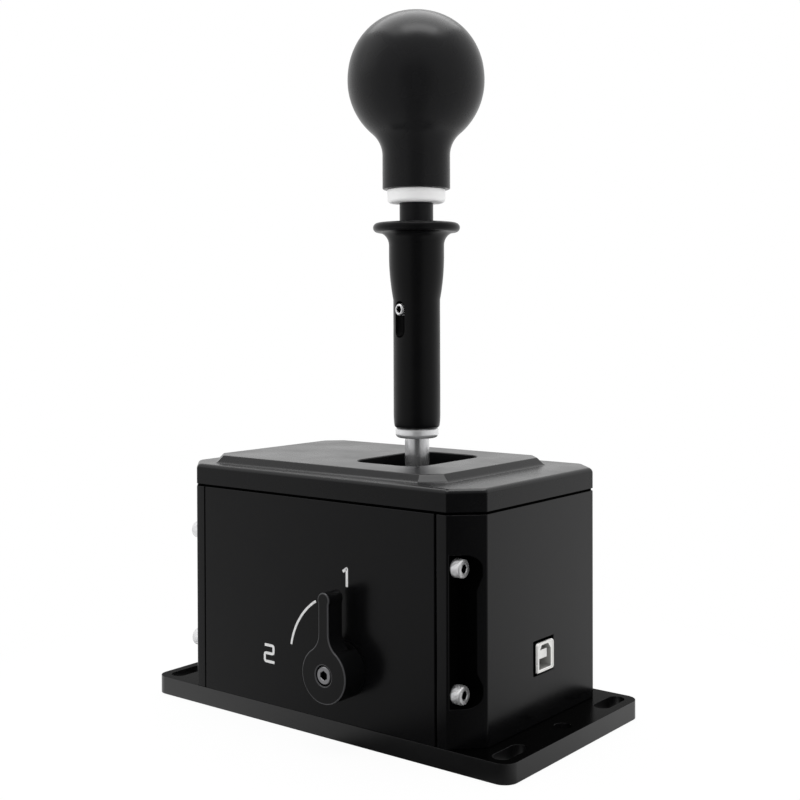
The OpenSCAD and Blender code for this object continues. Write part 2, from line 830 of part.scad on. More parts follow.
module stop_collar() {
    color(bright_steel) translate([lever_x, 0, collar_z]) rotate_extrude() polygon([
        [rod_d / 2, 0], [collar_r - collar_cone, 0], [collar_r, collar_cone], [collar_r, collar_height - 0.4],
        [collar_r - 0.4, collar_height], [rod_d / 2, collar_height]
    ]);
}

// Half section of the sleeve: a soft foot, a straight tube, a swelling and a trumpet that ends in the
// finger flange
function sleeve_outline() = concat(
    [[sleeve_foot_r - sleeve_foot_edge, 0]],
    [for (i = [0:6]) let (a = quarter * i / 6)
        [sleeve_foot_r + (sleeve_r - sleeve_foot_r) * sin(a),
            sleeve_foot_edge + sleeve_foot_height * (1 - cos(a))]],
    [for (i = [0:8]) let (t = i / 8)
        [sleeve_r + (sleeve_top_r - sleeve_r) * (1 - pow(1 - t, 2)),
            sleeve_length - swell_foot + (swell_foot - swell_end) * t]],
    [for (i = [0:7]) let (a = quarter * i / 8)
        [sleeve_top_r + (flange_r - flange_rim / 2 - sleeve_top_r) * (1 - cos(a)),
            sleeve_length - trumpet_height + (trumpet_height - flange_rim) * sin(a)]],
    arc([flange_r - flange_rim / 2, sleeve_length - flange_rim / 2], flange_rim / 2, -quarter, quarter, 10)
);

module pull_sleeve() {
    bore = rod_d / 2 + gap;
    floor_z = chamber_z - sleeve_z;
    color(black) difference() {
        translate([lever_x, 0, sleeve_z]) rotate_extrude() polygon(concat(
            [[bore, floor_z], [bore, 0]],
            sleeve_outline(),
            [[chamber_r, sleeve_length], [chamber_r, floor_z]]));
        guide_direction() translate([0, guide_slot_low - guide_screw_z, rod_d / 2 - 1])
            linear_extrude(sleeve_r) translate([0, (guide_slot_high - guide_slot_low) / 2])
                rotate(90) slot(guide_slot_high - guide_slot_low, guide_slot_width);
    }
}

module sleeve_spring() {
    color(bright_steel) translate([lever_x, 0, chamber_z + gap])
        coil((rod_d / 2 + chamber_r) / 2, 1.2, 6, stem_z - chamber_z - gap);
}

module stem_tube() {
    color(black) translate([lever_x, 0, stem_z]) difference() {
        cylinder(r = stem_r, h = ring_z - stem_z);
        translate([0, 0, -1]) cylinder(d = rod_d, h = ring_z - stem_z + 2);
    }
}

module knob_ring() {
    color(bright_steel) translate([lever_x, 0, ring_z]) rotate_extrude() polygon([
        [rod_d / 2, 0], [ring_r - 1.8, 0], [ring_r, 1.8], [ring_r, ring_height], [rod_d / 2, ring_height]
    ]);
}

// Half section of the crown above the ball's middle, a superellipse
function crown_outline() = let (steps = 24, power = 2 / crown_fullness) concat(
    [for (i = [0:steps - 1]) let (a = quarter * i / steps)
        [ball_r * pow(cos(a), power), crown_height * pow(sin(a), power)]],
    [[0, crown_height], [0, 0]]
);

module knob() {
    // The hollow circle touches the neck and the ball
    hollow_x = knob_neck_r + knob_blend_r;
    hollow_drop = sqrt(pow(ball_r + knob_blend_r, 2) - pow(hollow_x, 2));
    hollow_z = ball_height - hollow_drop;
    share = ball_r / (ball_r + knob_blend_r);
    color(black) translate([lever_x, 0, knob_z]) difference() {
        union() {
            translate([0, 0, ball_height]) difference() {
                sphere(ball_r, $fn = 96);
                cylinder(r = ball_r + 1, h = ball_r + 1);
            }
            translate([0, 0, ball_height]) rotate_extrude() polygon(crown_outline());
            rotate_extrude() difference() {
                polygon([
                    [0, 0], [knob_neck_r - 0.8, 0], [knob_neck_r, 0.8], [knob_neck_r, hollow_z],
                    [hollow_x * share, ball_height - hollow_drop * share], [0, ball_height]
                ]);
                translate([hollow_x, hollow_z]) circle(knob_blend_r);
            }
        }
        translate([0, 0, -1]) cylinder(d = rod_d, h = rod_top - knob_z + 1);
    }
}

// Mode selector

// Outline of the selector, its axis at the origin and its grip along +Y
module selector_plan() {
    neck = grip_width / 2 - 0.4;
    blend = 8;
    blend_y = sqrt(pow(selector_r + blend, 2) - pow(neck + blend, 2));
    share = selector_r / (selector_r + blend);
    circle(selector_r);
    difference() {
        polygon([
            [-(neck + blend) * share, blend_y * share], [(neck + blend) * share, blend_y * share],
            [neck, blend_y], [-neck, blend_y]
        ]);
        for (s = [-1, 1]) translate([s * (neck + blend), blend_y]) circle(blend);
    }
    translate([-neck, blend_y - 1]) square([2 * neck, grip_length - grip_width / 2 - blend_y + 1]);
    translate([0, grip_length - grip_width / 2]) circle(d = grip_width);
}

module selector_lever() {
    depth = selector_face - selector_back;
    color(black) along_minus_y([selector_x, -selector_back, selector_z]) difference() {
        union() {
            cylinder(r = selector_r, h = depth);
            translate([0, 0, depth - grip_depth]) linear_extrude(grip_depth) selector_plan();
        }
        translate([0, 0, -1]) cylinder(d = selector_shaft_d, h = selector_socket + 1);
        cylinder(r = m4_r + screw_play, h = depth);
        translate([0, 0, depth - m4_head_h]) cylinder(r = m4_head_r + 2 * screw_play, h = m4_head_h + 1);
    }
}

module selector_screw() {
    seat = selector_face - m4_head_h;
    length = seat - selector_back - selector_socket + selector_thread;
    color(bright_steel) along_minus_y([selector_x, -seat, selector_z])
        cap_screw(m4_r, m4_head_r, m4_head_h - screw_play, length, 3);
}

module selector_shaft() {
    front = selector_back + selector_socket;
    color(bright_steel) along_y([selector_x, -front, selector_z]) difference() {
        cylinder(d = selector_shaft_d, h = front - cam_face);
        translate([0, 0, -1]) cylinder(r = m4_r, h = selector_thread + 2);
    }
}

module selector_bush() {
    depth = panel_thickness - cam_pocket_depth;
    color(bronze) along_y([selector_x, -half_w, selector_z]) difference() {
        cylinder(r = bush_r, h = depth);
        translate([0, 0, -1]) cylinder(r = selector_shaft_d / 2 + running, h = depth + 2);
    }
}

// A ring sector on z = 0 whose top climbs evenly from angle a0 down to a1 and is level outside them
module ramp_ring(r_in, r_out, a0, a1, climb) {
    lead = 24;
    foot = 0.2;
    steps = 30;
    points = [for (i = [0:steps])
        let (a = a1 - lead + (a0 - a1 + 2 * lead) * i / steps,
            h = foot + climb * min(1, max(0, (a0 - a) / (a0 - a1))))
        each [
            [r_in * cos(a), r_in * sin(a), 0], [r_out * cos(a), r_out * sin(a), 0],
            [r_out * cos(a), r_out * sin(a), h], [r_in * cos(a), r_in * sin(a), h]
        ]];
    walls = [for (i = [0:steps - 1], j = [0:3])
        let (a = 4 * i + j, b = 4 * i + (j + 1) % 4)
        each [[a, b, b + 4], [a, b + 4, a + 4]]];
    last = 4 * steps;
    polyhedron(points, concat(walls, [[3, 2, 1, 0], [last, last + 1, last + 2, last + 3]]), convexity = 6);
}

module selector_cam() {
    color(dark_steel) along_y([selector_x, -cam_back, selector_z]) {
        difference() {
            cylinder(r = cam_r, h = cam_thickness);
            translate([0, 0, -1]) cylinder(d = selector_shaft_d, h = cam_thickness + 2);
        }
        translate([0, 0, cam_thickness]) mirror([0, 1, 0])
            ramp_ring(selector_shaft_d / 2 + 0.3, cam_r - 0.5, follower_angle, follower_angle - quarter,
                plunger_travel);
    }
}

module lock_plunger() {
    r = plunger_d / 2;
    nose = 1;
    straight = plunger_tail - r - plunger_nose - nose;
    color(bright_steel) {
        along_y([lever_x, r - plunger_tail, pivot_height]) {
            sphere(r);
            cylinder(r = r, h = straight);
            translate([0, 0, straight]) cylinder(r1 = r, r2 = r - 0.8, h = nose);
        }
        along_y([lever_x, -plunger_collar_y, pivot_height])
            cylinder(r = plunger_collar_r, h = plunger_collar_h);
    }
}

module plunger_spring() {
    front = plunger_collar_y - plunger_collar_h;
    color(bright_steel) along_y([lever_x, -front, pivot_height])
        coil(plunger_coil_r, plunger_wire, 3, front - shaft_front_y - gap);
}

// Electronics

module board_places() {
    for (x = [board_low_x + board_hole_inset, board_high_x - board_hole_inset],
        y = [board_hole_inset - board_half_y, board_half_y - board_hole_inset])
        translate([x, y, 0]) children();
}

module main_board() {
    color([0.05, 0.2, 0.1]) difference() {
        translate([board_low_x, -board_half_y, board_z])
            cube([board_high_x - board_low_x, 2 * board_half_y, board_thickness]);
        board_places() cylinder(r = board_hole_r, h = board_top + 1);
    }
}

// The angle sensor under the magnet, the controller and its crystal
module board_chips() {
    color([0.12, 0.12, 0.13]) {
        translate([lever_x - sensor_side / 2, -sensor_side / 2, board_top])
            cube([sensor_side, sensor_side, chip_height]);
        translate([controller_x - controller_side / 2, -controller_side / 2, board_top])
            cube([controller_side, controller_side, chip_height]);
        translate([controller_x - controller_side / 2, controller_side, board_top])
            cube([crystal_width, crystal_length, crystal_height]);
    }
}

module board_standoffs() {
    color(bright_steel) board_places() translate([0, 0, base_thickness]) difference() {
        cylinder(r = standoff_r, h = standoff_height);
        translate([0, 0, -1]) cylinder(r = m25_r, h = standoff_height + 2);
    }
}

module board_screws() {
    color(bright_steel) {
        board_places() translate([0, 0, board_top])
            cap_screw(m25_r, m25_head_r, m25_head_h, board_thickness + 2, 1.5);
        socket_places() translate([0, 0, socket_board_z + board_thickness])
            cap_screw(m25_r, m25_head_r, m25_head_h, board_thickness + 4, 1.5);
    }
}

module socket_places() {
    both_y() translate([socket_low_x + 3, socket_half_y - 3, 0]) children();
}

module socket_standoffs() {
    height = socket_board_z - board_top;
    color(bright_steel) socket_places() translate([0, 0, board_top]) difference() {
        cylinder(r = standoff_r, h = height);
        translate([0, 0, height - standoff_thread]) cylinder(r = m25_r, h = standoff_thread + 1);
    }
}

module socket_board() {
    color([0.05, 0.2, 0.1]) difference() {
        translate([socket_low_x, -socket_half_y, socket_board_z])
            cube([socket_high_x - socket_low_x, 2 * socket_half_y, board_thickness]);
        socket_places() cylinder(r = board_hole_r, h = socket_board_z + board_thickness + 1);
    }
}

// Five square pins in a strip carry the socket's signals down to the main board
module pin_header() {
    pitch = 2.54;
    pins = 5;
    side = 0.64;
    strip = 2.5;
    x = socket_low_x + 3 * strip;
    color([0.16, 0.16, 0.17]) translate([x - strip / 2, -pins * pitch / 2, board_top])
        cube([strip, pins * pitch, strip]);
    color(bright_steel) for (i = [0:pins - 1])
        translate([x - side / 2, pitch * (i - (pins - 1) / 2) - side / 2, board_top + strip])
            cube([side, side, socket_board_z - board_top - strip]);
}

module port_prism(inset, low_x, high_x) {
    translate([low_x, inset - port_width / 2, port_low + inset])
        cube([high_x - low_x, port_width - 2 * inset, port_height - 2 * inset]);
}

module socket_shell() {
    front = half_l + port_proud;
    color(bright_steel) difference() {
        port_prism(0, front - socket_length, front);
        port_prism(shell_wall, front - socket_length + shell_wall, front + 1);
    }
}

// The D-shaped mouth, seen from outside, Y to the right and Z up
module port_mouth() {
    polygon([[-4.2, -4.5], [4.2, -4.5], [4.2, 2.3], [2.3, 4.6], [-2.3, 4.6], [-4.2, 2.3]]);
}

module socket_insert() {
    front = half_l + port_proud - 0.4;
    mouth_depth = 9;
    color([0.75, 0.75, 0.73]) {
        difference() {
            port_prism(shell_wall, half_l + port_proud - socket_length + shell_wall, front);
            translate([front - mouth_depth, 0, port_z]) rotate([90, 0, 90])
                linear_extrude(mouth_depth + 1) port_mouth();
        }
        translate([front - mouth_depth - tiny, -2.8, port_z - 0.9]) cube([mouth_depth - 1, 5.6, 3.4]);
    }
}

base_plate();
end_plate_socket();
end_plate_plain();
side_panel_selector();
side_panel_plain();
lid();
gate_plate();
corner_screws();
tie_bolts();
panel_screws();
block_screws();
gate_screws();
bearing_blocks();
shift_bushes();
yoke();
shift_shafts();
select_pin();
lever_hub();
select_bushes();
centring_spring_selector();
centring_spring_plain();
lever_rod();
stop_collar();
pull_sleeve();
sleeve_spring();
stem_tube();
guide_screw();
knob_ring();
knob();
selector_lever();
selector_screw();
selector_shaft();
selector_cam();
selector_bush();
lock_plunger();
plunger_spring();
detent_sector();
detent_block();
detent_plunger();
tilt_magnet();
main_board();
board_chips();
board_standoffs();
board_screws();
pin_header();
socket_board();
socket_standoffs();
socket_shell();
socket_insert();
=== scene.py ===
# %% [markdown]
# # Dressing a racing shifter in Blender
# A sim racing gear shifter is a closed box of black anodised plates with one tall lever through its
# lid. The plates, the pivot inside and every joint come from the CAD model, and this lesson gives
# them their edges and their surfaces. Almost everything is black, so the object is read from its
# highlights: a plate edge shows because it is broken by a fine chamfer, a tube because it shines.

import bmesh
import bpy
import numpy as np
from mathutils import Matrix, Vector


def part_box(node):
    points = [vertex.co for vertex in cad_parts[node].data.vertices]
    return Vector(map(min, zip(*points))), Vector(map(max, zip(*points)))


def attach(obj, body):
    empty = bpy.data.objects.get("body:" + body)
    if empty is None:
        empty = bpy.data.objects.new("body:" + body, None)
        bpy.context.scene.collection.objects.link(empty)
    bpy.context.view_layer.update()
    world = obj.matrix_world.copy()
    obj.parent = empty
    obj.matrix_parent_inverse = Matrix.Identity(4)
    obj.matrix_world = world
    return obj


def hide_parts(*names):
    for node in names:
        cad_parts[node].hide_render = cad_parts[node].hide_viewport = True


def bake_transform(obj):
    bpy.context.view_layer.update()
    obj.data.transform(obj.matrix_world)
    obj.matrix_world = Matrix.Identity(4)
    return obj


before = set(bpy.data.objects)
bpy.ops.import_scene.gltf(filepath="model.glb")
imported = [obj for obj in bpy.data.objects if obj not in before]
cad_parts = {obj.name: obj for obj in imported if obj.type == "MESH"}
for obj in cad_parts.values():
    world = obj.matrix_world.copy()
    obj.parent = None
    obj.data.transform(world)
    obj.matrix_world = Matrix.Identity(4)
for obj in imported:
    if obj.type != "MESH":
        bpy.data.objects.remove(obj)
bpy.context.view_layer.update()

# %% [markdown]
# ## Units and the lever's axis
# Blender works in metres here, but a machinist thinks in millimetres. Sizes on the object are
# therefore written in millimetres and multiplied by one value as the mesh is made. The lever stands
# 14.6 mm off the middle of the box, and all turned pieces share that axis. Seen from above, the box
# is a rectangle whose four corners are cut off at 45 degrees.

# %% Units
MM = 0.001
LEVER_AXIS = np.array([14.6, 0.0])
HALF_LENGTH, HALF_WIDTH, CORNER_CUT = 75.0, 48.5, 10.5


def node_box(node):
    """Lowest and highest corner of a CAD node, in millimetres."""
    low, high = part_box(node)
    return np.array(low) / MM, np.array(high) / MM


def heights(node):
    """Lowest and highest Z of a CAD node, in millimetres."""
    low, high = node_box(node)
    return low[2], high[2]


print("lid from %.1f to %.1f mm" % heights("lid"))

# %% [markdown]
# ## Colours and nodes
# Colours are written as the hex values that a paint shop would give, which are sRGB. A shader wants
# linear light, so one function converts them. One more helper adds a node, sets its values and makes
# its links in one call, which keeps each material short enough to read as a recipe.

# %% Colour and node helpers
def paint(code):
    """Linear RGBA of an sRGB hex colour: a straight part near black, then a power of 2.4."""
    value = np.array([int(code[i:i + 2], 16) for i in (1, 3, 5)]) / 255
    light = np.where(value <= 0.04045, value / 12.92, ((value + 0.055) / 1.055) ** 2.4)
    return (*light.tolist(), 1.0)


def add_node(tree, kind, links=None, values=None, **settings):
    """Adds a node, sets its properties and input values, and links inputs to other nodes' outputs."""
    node = tree.nodes.new(kind)
    for name, value in settings.items():
        setattr(node, name, value)
    for name, value in (values or {}).items():
        node.inputs[name].default_value = value
    for name, output in (links or {}).items():
        tree.links.new(output, node.inputs[name])
    return node


def new_material(name, colour, metallic, roughness, **shader):
    """A material with one Principled shader. Returns the material, its tree and that shader."""
    material = bpy.data.materials.new(name)
    material.use_nodes = True
    tree = material.node_tree
    tree.nodes.clear()
    principled = add_node(tree, "ShaderNodeBsdfPrincipled", values={
        "Base Color": paint(colour), "Metallic": metallic, "Roughness": roughness, **shader})
    add_node(tree, "ShaderNodeOutputMaterial", {"Surface": principled.outputs["BSDF"]})
    material.diffuse_color = paint(colour)
    return material, tree, principled


print("a screen's middle grey, #808080, is %.2f of white in linear light" % paint("#808080")[0])

# %% [markdown]
# ## Three patterns that metal and plastic share
# No surface has one colour and one sheen all over. Both drift a little from place to place, and that
# is what stops a plain surface from looking like plastic film. A blasted or moulded surface also has
# a fine grain, and a turned one has rings around its axis. Grain and rings are both a small bump. The
# sizes are given in millimetres. A real blasted grain of 0.1 mm is finer than a pixel of the render,
# so it is drawn at about 0.5 mm. Pictures of real surfaces could carry all this, but a pattern worked
# out from the object's own coordinates has no seams and fits every piece.

# %% Drift, grain and turning rings
NOISE_LOW, NOISE_HIGH = 0.3, 0.7  # most of a noise texture's values lie between these two
BAND_GAP = 0.314  # distance between two bands of a wave texture at a scale of 1


def drift(tree, principled, size, detail, first, second, smooth, rough):
    """Fractal noise in object space, with blobs about size millimetres across, mixes two hex colours
    and runs the roughness from smooth to rough."""
    place = add_node(tree, "ShaderNodeTexCoord")
    noise = add_node(tree, "ShaderNodeTexNoise", {"Vector": place.outputs["Object"]},
                     {"Scale": 1 / (size * MM), "Detail": detail, "Roughness": 0.6})
    colour = add_node(tree, "ShaderNodeMix", {"Factor": noise.outputs["Fac"]},
                      {"A": paint(first), "B": paint(second)}, data_type="RGBA")
    sheen = add_node(tree, "ShaderNodeMapRange", {"Value": noise.outputs["Fac"]},
                     {"From Min": NOISE_LOW, "From Max": NOISE_HIGH, "To Min": smooth, "To Max": rough})
    tree.links.new(colour.outputs["Result"], principled.inputs["Base Color"])
    tree.links.new(sheen.outputs["Result"], principled.inputs["Roughness"])


def grain(tree, principled, size, strength, depth):
    """A bump of fractal noise: blobs about size millimetres across and depth millimetres deep."""
    place = add_node(tree, "ShaderNodeTexCoord")
    noise = add_node(tree, "ShaderNodeTexNoise", {"Vector": place.outputs["Object"]},
                     {"Scale": 1 / (size * MM), "Detail": 4.0, "Roughness": 0.6})
    bump = add_node(tree, "ShaderNodeBump", {"Height": noise.outputs["Fac"]},
                    {"Strength": strength, "Distance": depth * MM})
    tree.links.new(bump.outputs["Normal"], principled.inputs["Normal"])


def turning_rings(tree, principled, pitch, strength, depth):
    """A bump of rings along Z, pitch millimetres apart and depth millimetres deep, a little uneven."""
    place = add_node(tree, "ShaderNodeTexCoord")
    wave = add_node(tree, "ShaderNodeTexWave", {"Vector": place.outputs["Object"]},
                    {"Scale": BAND_GAP / (pitch * MM), "Distortion": 0.6, "Detail": 2.0,
                     "Detail Scale": 1.5}, bands_direction="Z")
    bump = add_node(tree, "ShaderNodeBump", {"Height": wave.outputs["Fac"]},
                    {"Strength": strength, "Distance": depth * MM})
    tree.links.new(bump.outputs["Normal"], principled.inputs["Normal"])


print("a grain of 0.5 mm needs a noise scale of %.0f" % (1 / (0.5 * MM)))

# %% [markdown]
# ## Black anodised aluminium
# Anodising turns the outer hundredth of a millimetre of aluminium into a hard, clear oxide that is
# dyed black. The eye sees the oxide, not the metal: a dark body colour, a weak reflection when the
# surface is seen square on, and a strong one at a glancing angle. That is why the lid looks grey and
# the sides look black under the same light. A metal with a dark tint could be used as well, but it
# would mirror the room almost alike from every side, so the finish is no metal: a dark body colour
# and an index of refraction, as plastic has. The real oxide's index is near 1.6, but the dyed pores
# scatter part of the light, so the plates need about 1.3 to be as dark as they should be, and the
# broken edges more. The selector's broken edge also gets a lighter grey, as a painted highlight. The
# lid's sides get a darker copy of the lid's finish, as painted shade. The flanges of the base, the
# corner pockets and the groove at the lid's foot lie in the shade of the box, and they get painted
# shade: near black, with an index just above 1.

# %% Anodised finishes
def anodised(surface, dark, light, roughness, grain_size, depth, ior):
    """Dyed oxide on blasted aluminium: two close blacks, a drifting sheen and a fine grain."""
    material, tree, principled = new_material("anodised aluminium, " + surface, dark, 0.0, roughness,
                                              IOR=ior)
    drift(tree, principled, 22, 3.0, dark, light, roughness - 0.03, roughness + 0.04)
    grain(tree, principled, grain_size, 0.25, depth)
    return material


# The surface, its darker and lighter colour, roughness, grain and depth of the grain in mm, and IOR.
panel_black = anodised("fine blasted", "#070708", "#09090a", 0.22, 0.5, 0.008, 1.25)
end_black = anodised("machined end plate", "#050506", "#080809", 0.20, 0.45, 0.008, 1.28)
base_black = anodised("milled base edge", "#060607", "#09090a", 0.30, 0.6, 0.012, 1.54)
# painted shade: the top of the base is kept near black because it lies in the shade of the box
base_top_painted_shade = anodised("base top, painted shade", "#020202", "#040404", 0.26, 0.6, 0.012, 1.05)
# painted shade: near black for the groove at the lid's foot and for the end plates' corner pockets
shadow_black = anodised("unlit groove", "#010101", "#030303", 0.6, 0.5, 0.008, 1.03)
lid_black = anodised("milled lid", "#08080a", "#0c0c0d", 0.28, 0.5, 0.010, 1.32)
# painted shade: a darker copy of the lid's finish, with a lower index, for the lid's sides
lid_side_painted_shade = anodised("milled lid side, painted shade", "#060607", "#09090a", 0.26, 0.5, 0.010, 1.27)
grip_black = anodised("small parts", "#080809", "#0b0b0c", 0.34, 0.4, 0.010, 1.27)
# painted highlight: a lighter grey for the chamfer on the selector's face
edge_painted_highlight = anodised("broken edge", "#363638", "#3e3e40", 0.34, 0.4, 0.006, 1.40)
print("anodised finishes:", sum(m.name.startswith("anodised") for m in bpy.data.materials))

# %% [markdown]
# ## Turned black tubes
# The pull sleeve and the stem are turned on a lathe before they are anodised. The tool leaves rings
# of a few tenths of a millimetre, too fine to count but enough to spread a highlight along the tube.
# An anisotropic sheen would spread it too, but it has to know the direction of the rings at each
# point, and a bump along the height gives that by itself.

# %% Turned anodised finish
def turned_black(name, dark, light, roughness, pitch):
    """Anodised aluminium with the lathe's rings under the oxide."""
    material, tree, principled = new_material(name, dark, 0.0, roughness, IOR=1.24)
    drift(tree, principled, 12, 3.0, dark, light, roughness - 0.04, roughness + 0.05)
    turning_rings(tree, principled, pitch, 0.2, 0.008)
    return material


sleeve_black = turned_black("anodised aluminium, turned", "#09090a", "#0c0c0d", 0.32, 0.5)
# painted light: the stem sits in the shade between the ring and the flange, so it gets a lighter colour
# than the sleeve
stem_painted_light = turned_black("anodised aluminium, turned stem, painted light", "#18181a", "#1d1d1f", 0.34, 0.3)
print("made", sleeve_black.name, "and", stem_painted_light.name)

# %% [markdown]
# ## Bright metals
# Steel, chrome and turned aluminium have no body colour of their own. They show the room, tinted by
# the metal, and the finish decides how sharply. A clean mirror has a metallic value of 1. A ground or
# satin surface also scatters some light from its scratches, as paint does, so the rod and the screws
# get 0.85 and the satin chrome 0.55, and the frosted ring and the clouded nickel get far less. Ground
# steel and chrome have very fine rings, and a screw from a box has a slightly dirty sheen.

# %% Bright and dark metals
def metal(name, light, dark, roughness, spread, pitch=None, depth=0.004, metallic=1.0):
    """Bare metal: its tint and sheen drift a little, and rings or a grain give the tool marks."""
    material, tree, principled = new_material(name, light, metallic, roughness)
    drift(tree, principled, 5, 3.0, dark, light, roughness - spread, roughness + spread)
    if pitch:
        turning_rings(tree, principled, pitch, 0.3, depth)
    else:
        grain(tree, principled, 0.4, 0.3, depth)
    return material


ground_steel = metal("steel, ground rod", "#e2e2e3", "#d4d4d6", 0.17, 0.03,
                     pitch=0.4, depth=0.001, metallic=0.85)
satin_chrome = metal("chrome plate, satin", "#f6f6f7", "#eeeef0", 0.22, 0.04,
                     pitch=0.3, depth=0.001, metallic=0.55)
frosted_ring = metal("aluminium, turned and frosted", "#ffffff", "#fbfbfb", 0.50, 0.04,
                     pitch=0.3, metallic=0.2)
screw_steel = metal("stainless steel, screw", "#e8e8e9", "#d6d6d7", 0.26, 0.06, metallic=0.85)
zinc_steel = metal("steel, zinc plated screw", "#9a9a9c", "#848486", 0.34, 0.06)
# painted shade: a dark steel for the hexagon sockets and for the shell wall inside the data socket's
# gap
recess_painted_shade = metal("steel, painted shade in recesses", "#1c1c1d", "#141415", 0.5, 0.05)
machined_steel = metal("steel, machined", "#8d8e92", "#77787c", 0.36, 0.06)
blackened_steel = metal("steel, blackened", "#2a2a2c", "#1d1d1f", 0.42, 0.06)
spring_wire = metal("steel, drawn spring wire", "#a3a4a8", "#8b8c90", 0.30, 0.05)
sintered_bronze = metal("bronze, sintered bush", "#a47a45", "#8a6436", 0.45, 0.06, depth=0.012)
nickel_plate = metal("nickel plate, formed sheet", "#fbfaf8", "#f2f1ee", 0.30, 0.05, metallic=0.25)
print("materials so far, with the CAD model's own:", len(bpy.data.materials))

# %% [markdown]
# ## Plastics, circuit board and ink
# The knob is moulded with a soft satin skin: dark, with a broad, quiet highlight. The socket's
# insulator is a pale moulding. The circuit boards have a green lacquer with faint tracks under it,
# which a cell pattern suggests. The marks on the side are a thin, matt, light grey ink.

# %% Plastics, board and ink
def moulded(name, dark, light, roughness, grain_size, depth, ior=1.49):
    """Moulded plastic: a spark-eroded grain from the mould and a slow drift of the sheen."""
    material, tree, principled = new_material(name, dark, 0.0, roughness, IOR=ior)
    drift(tree, principled, 14, 2.0, dark, light, roughness - 0.03, roughness + 0.04)
    grain(tree, principled, grain_size, 0.2, depth)
    return material


def lacquered_board(name):
    """Green solder mask whose cells of darker and lighter green stand for copper under it."""
    material, tree, principled = new_material(name, "#0c3b1e", 0.0, 0.32, IOR=1.5)
    place = add_node(tree, "ShaderNodeTexCoord")
    cells = add_node(tree, "ShaderNodeTexVoronoi", {"Vector": place.outputs["Object"]},
                     {"Scale": 1 / (3.5 * MM)}, distance="CHEBYCHEV")
    green = add_node(tree, "ShaderNodeMix", {"Factor": cells.outputs["Distance"]},
                     {"A": paint("#0a3319"), "B": paint("#14542c")}, data_type="RGBA")
    bump = add_node(tree, "ShaderNodeBump", {"Height": cells.outputs["Distance"]},
                    {"Strength": 0.3, "Distance": 0.03 * MM})
    tree.links.new(green.outputs["Result"], principled.inputs["Base Color"])
    tree.links.new(bump.outputs["Normal"], principled.inputs["Normal"])
    return material


knob_skin = moulded("soft-touch plastic, moulded knob", "#171718", "#1b1b1c", 0.27, 0.5, 0.008, 1.24)
socket_plastic = moulded("nylon, moulded insulator", "#f2f2f0", "#e8e8e5", 0.45, 0.4, 0.01)
# painted shade: a darker grey for the inside of the insulator's mouth
mouth_plastic = moulded("nylon, moulded, shaded core", "#a6a6a3", "#979794", 0.5, 0.4, 0.01)
chip_epoxy = moulded("epoxy, moulded chip", "#1a1a1b", "#202021", 0.5, 0.3, 0.01)
board_green = lacquered_board("solder mask on glass fibre")
print_ink = moulded("silk-screen ink", "#dedede", "#d4d4d4", 0.6, 0.3, 0.004)
print("materials with the plastics:", len(bpy.data.materials))

# %% [markdown]
# ## From arrays to a Blender object
# Each new piece is a grid of points, computed as whole arrays. A piece is a stack of closed outlines
# of equal length, joined ring to ring. A lathe piece, a plate with a window and a screw are all such
# stacks, so one set of helpers makes every one of them. They could be modelled by hand, but a size
# in a formula can be read, checked and changed. Points that fall together are merged, faces are
# turned outwards, and smooth shading stops at sharp edges.

# %% Faces between rings
def ring_faces(rings, points, closed):
    """Quads between neighbouring rings: point p of ring r joins p + 1, and both join the same two
    points of ring r + 1. A ring's ends always meet, and closed joins the last ring to the first."""
    row = np.arange(rings if closed else rings - 1)[:, None]
    column = np.arange(points)[None, :]
    after = (row + 1) % rings
    beside = (column + 1) % points
    corners = [row * points + column, row * points + beside,
               after * points + beside, after * points + column]
    return np.stack([np.broadcast_to(c, (len(row), points)) for c in corners], axis=-1).reshape(-1, 4)


print("two open rings of four points give", len(ring_faces(2, 4, False)), "faces")

# %% Finished pieces
SAME_POINT = 1e-7  # metres
SHARP = 30  # degrees between two faces, above which the edge between them looks sharp


def finish_mesh(mesh, angle=SHARP):
    """Smooth shading that stays sharp over edges steeper than angle, with faces turned outwards."""
    work = bmesh.new()
    work.from_mesh(mesh)
    bmesh.ops.remove_doubles(work, verts=work.verts, dist=SAME_POINT)
    bmesh.ops.dissolve_degenerate(work, dist=SAME_POINT / 10, edges=work.edges)
    bmesh.ops.recalc_face_normals(work, faces=work.faces)
    work.to_mesh(mesh)
    work.free()
    mesh.shade_smooth()
    mesh.set_sharp_from_angle(angle=np.radians(angle))


def new_piece(name, points, faces, material, body, replaces=(), slot=None, angle=SHARP, others=(),
              marks=None):
    """An object in the model's frame from millimetre points, finished, painted and tied to its body.
    Faces with mark 0 get the material, those with mark 1, 2 ... the first, second ... of the others."""
    mesh = bpy.data.meshes.new(name)
    mesh.from_pydata((np.asarray(points) * MM).tolist(), [], [list(f) for f in faces])
    if others:
        mesh.polygons.foreach_set("material_index", marks)
    finish_mesh(mesh, angle)
    return register(mesh, name, material, body, replaces, others)


def register(mesh, name, material, body, replaces, others=()):
    """Puts a finished mesh into the scene, with large faces shaded flat up to their edges, and ties it
    to its body when it has one."""
    marks = np.zeros(len(mesh.polygons), dtype=np.int32)
    if others:
        mesh.polygons.foreach_get("material_index", marks)
    mesh.materials.clear()
    for finish in (material, *others):
        mesh.materials.append(finish)
    mesh.polygons.foreach_set("material_index", marks)
    piece = bpy.data.objects.new(name, mesh)
    bpy.context.scene.collection.objects.link(piece)
    flat = piece.modifiers.new("large faces stay flat", "WEIGHTED_NORMAL")
    flat.keep_sharp = True
    if body:
        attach(piece, body)
    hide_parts(*replaces)
    print("%-30s %6d faces on %s" % (name, len(mesh.polygons), body or "two bodies"))
    return piece


print("edges steeper than", SHARP, "degrees look sharp")

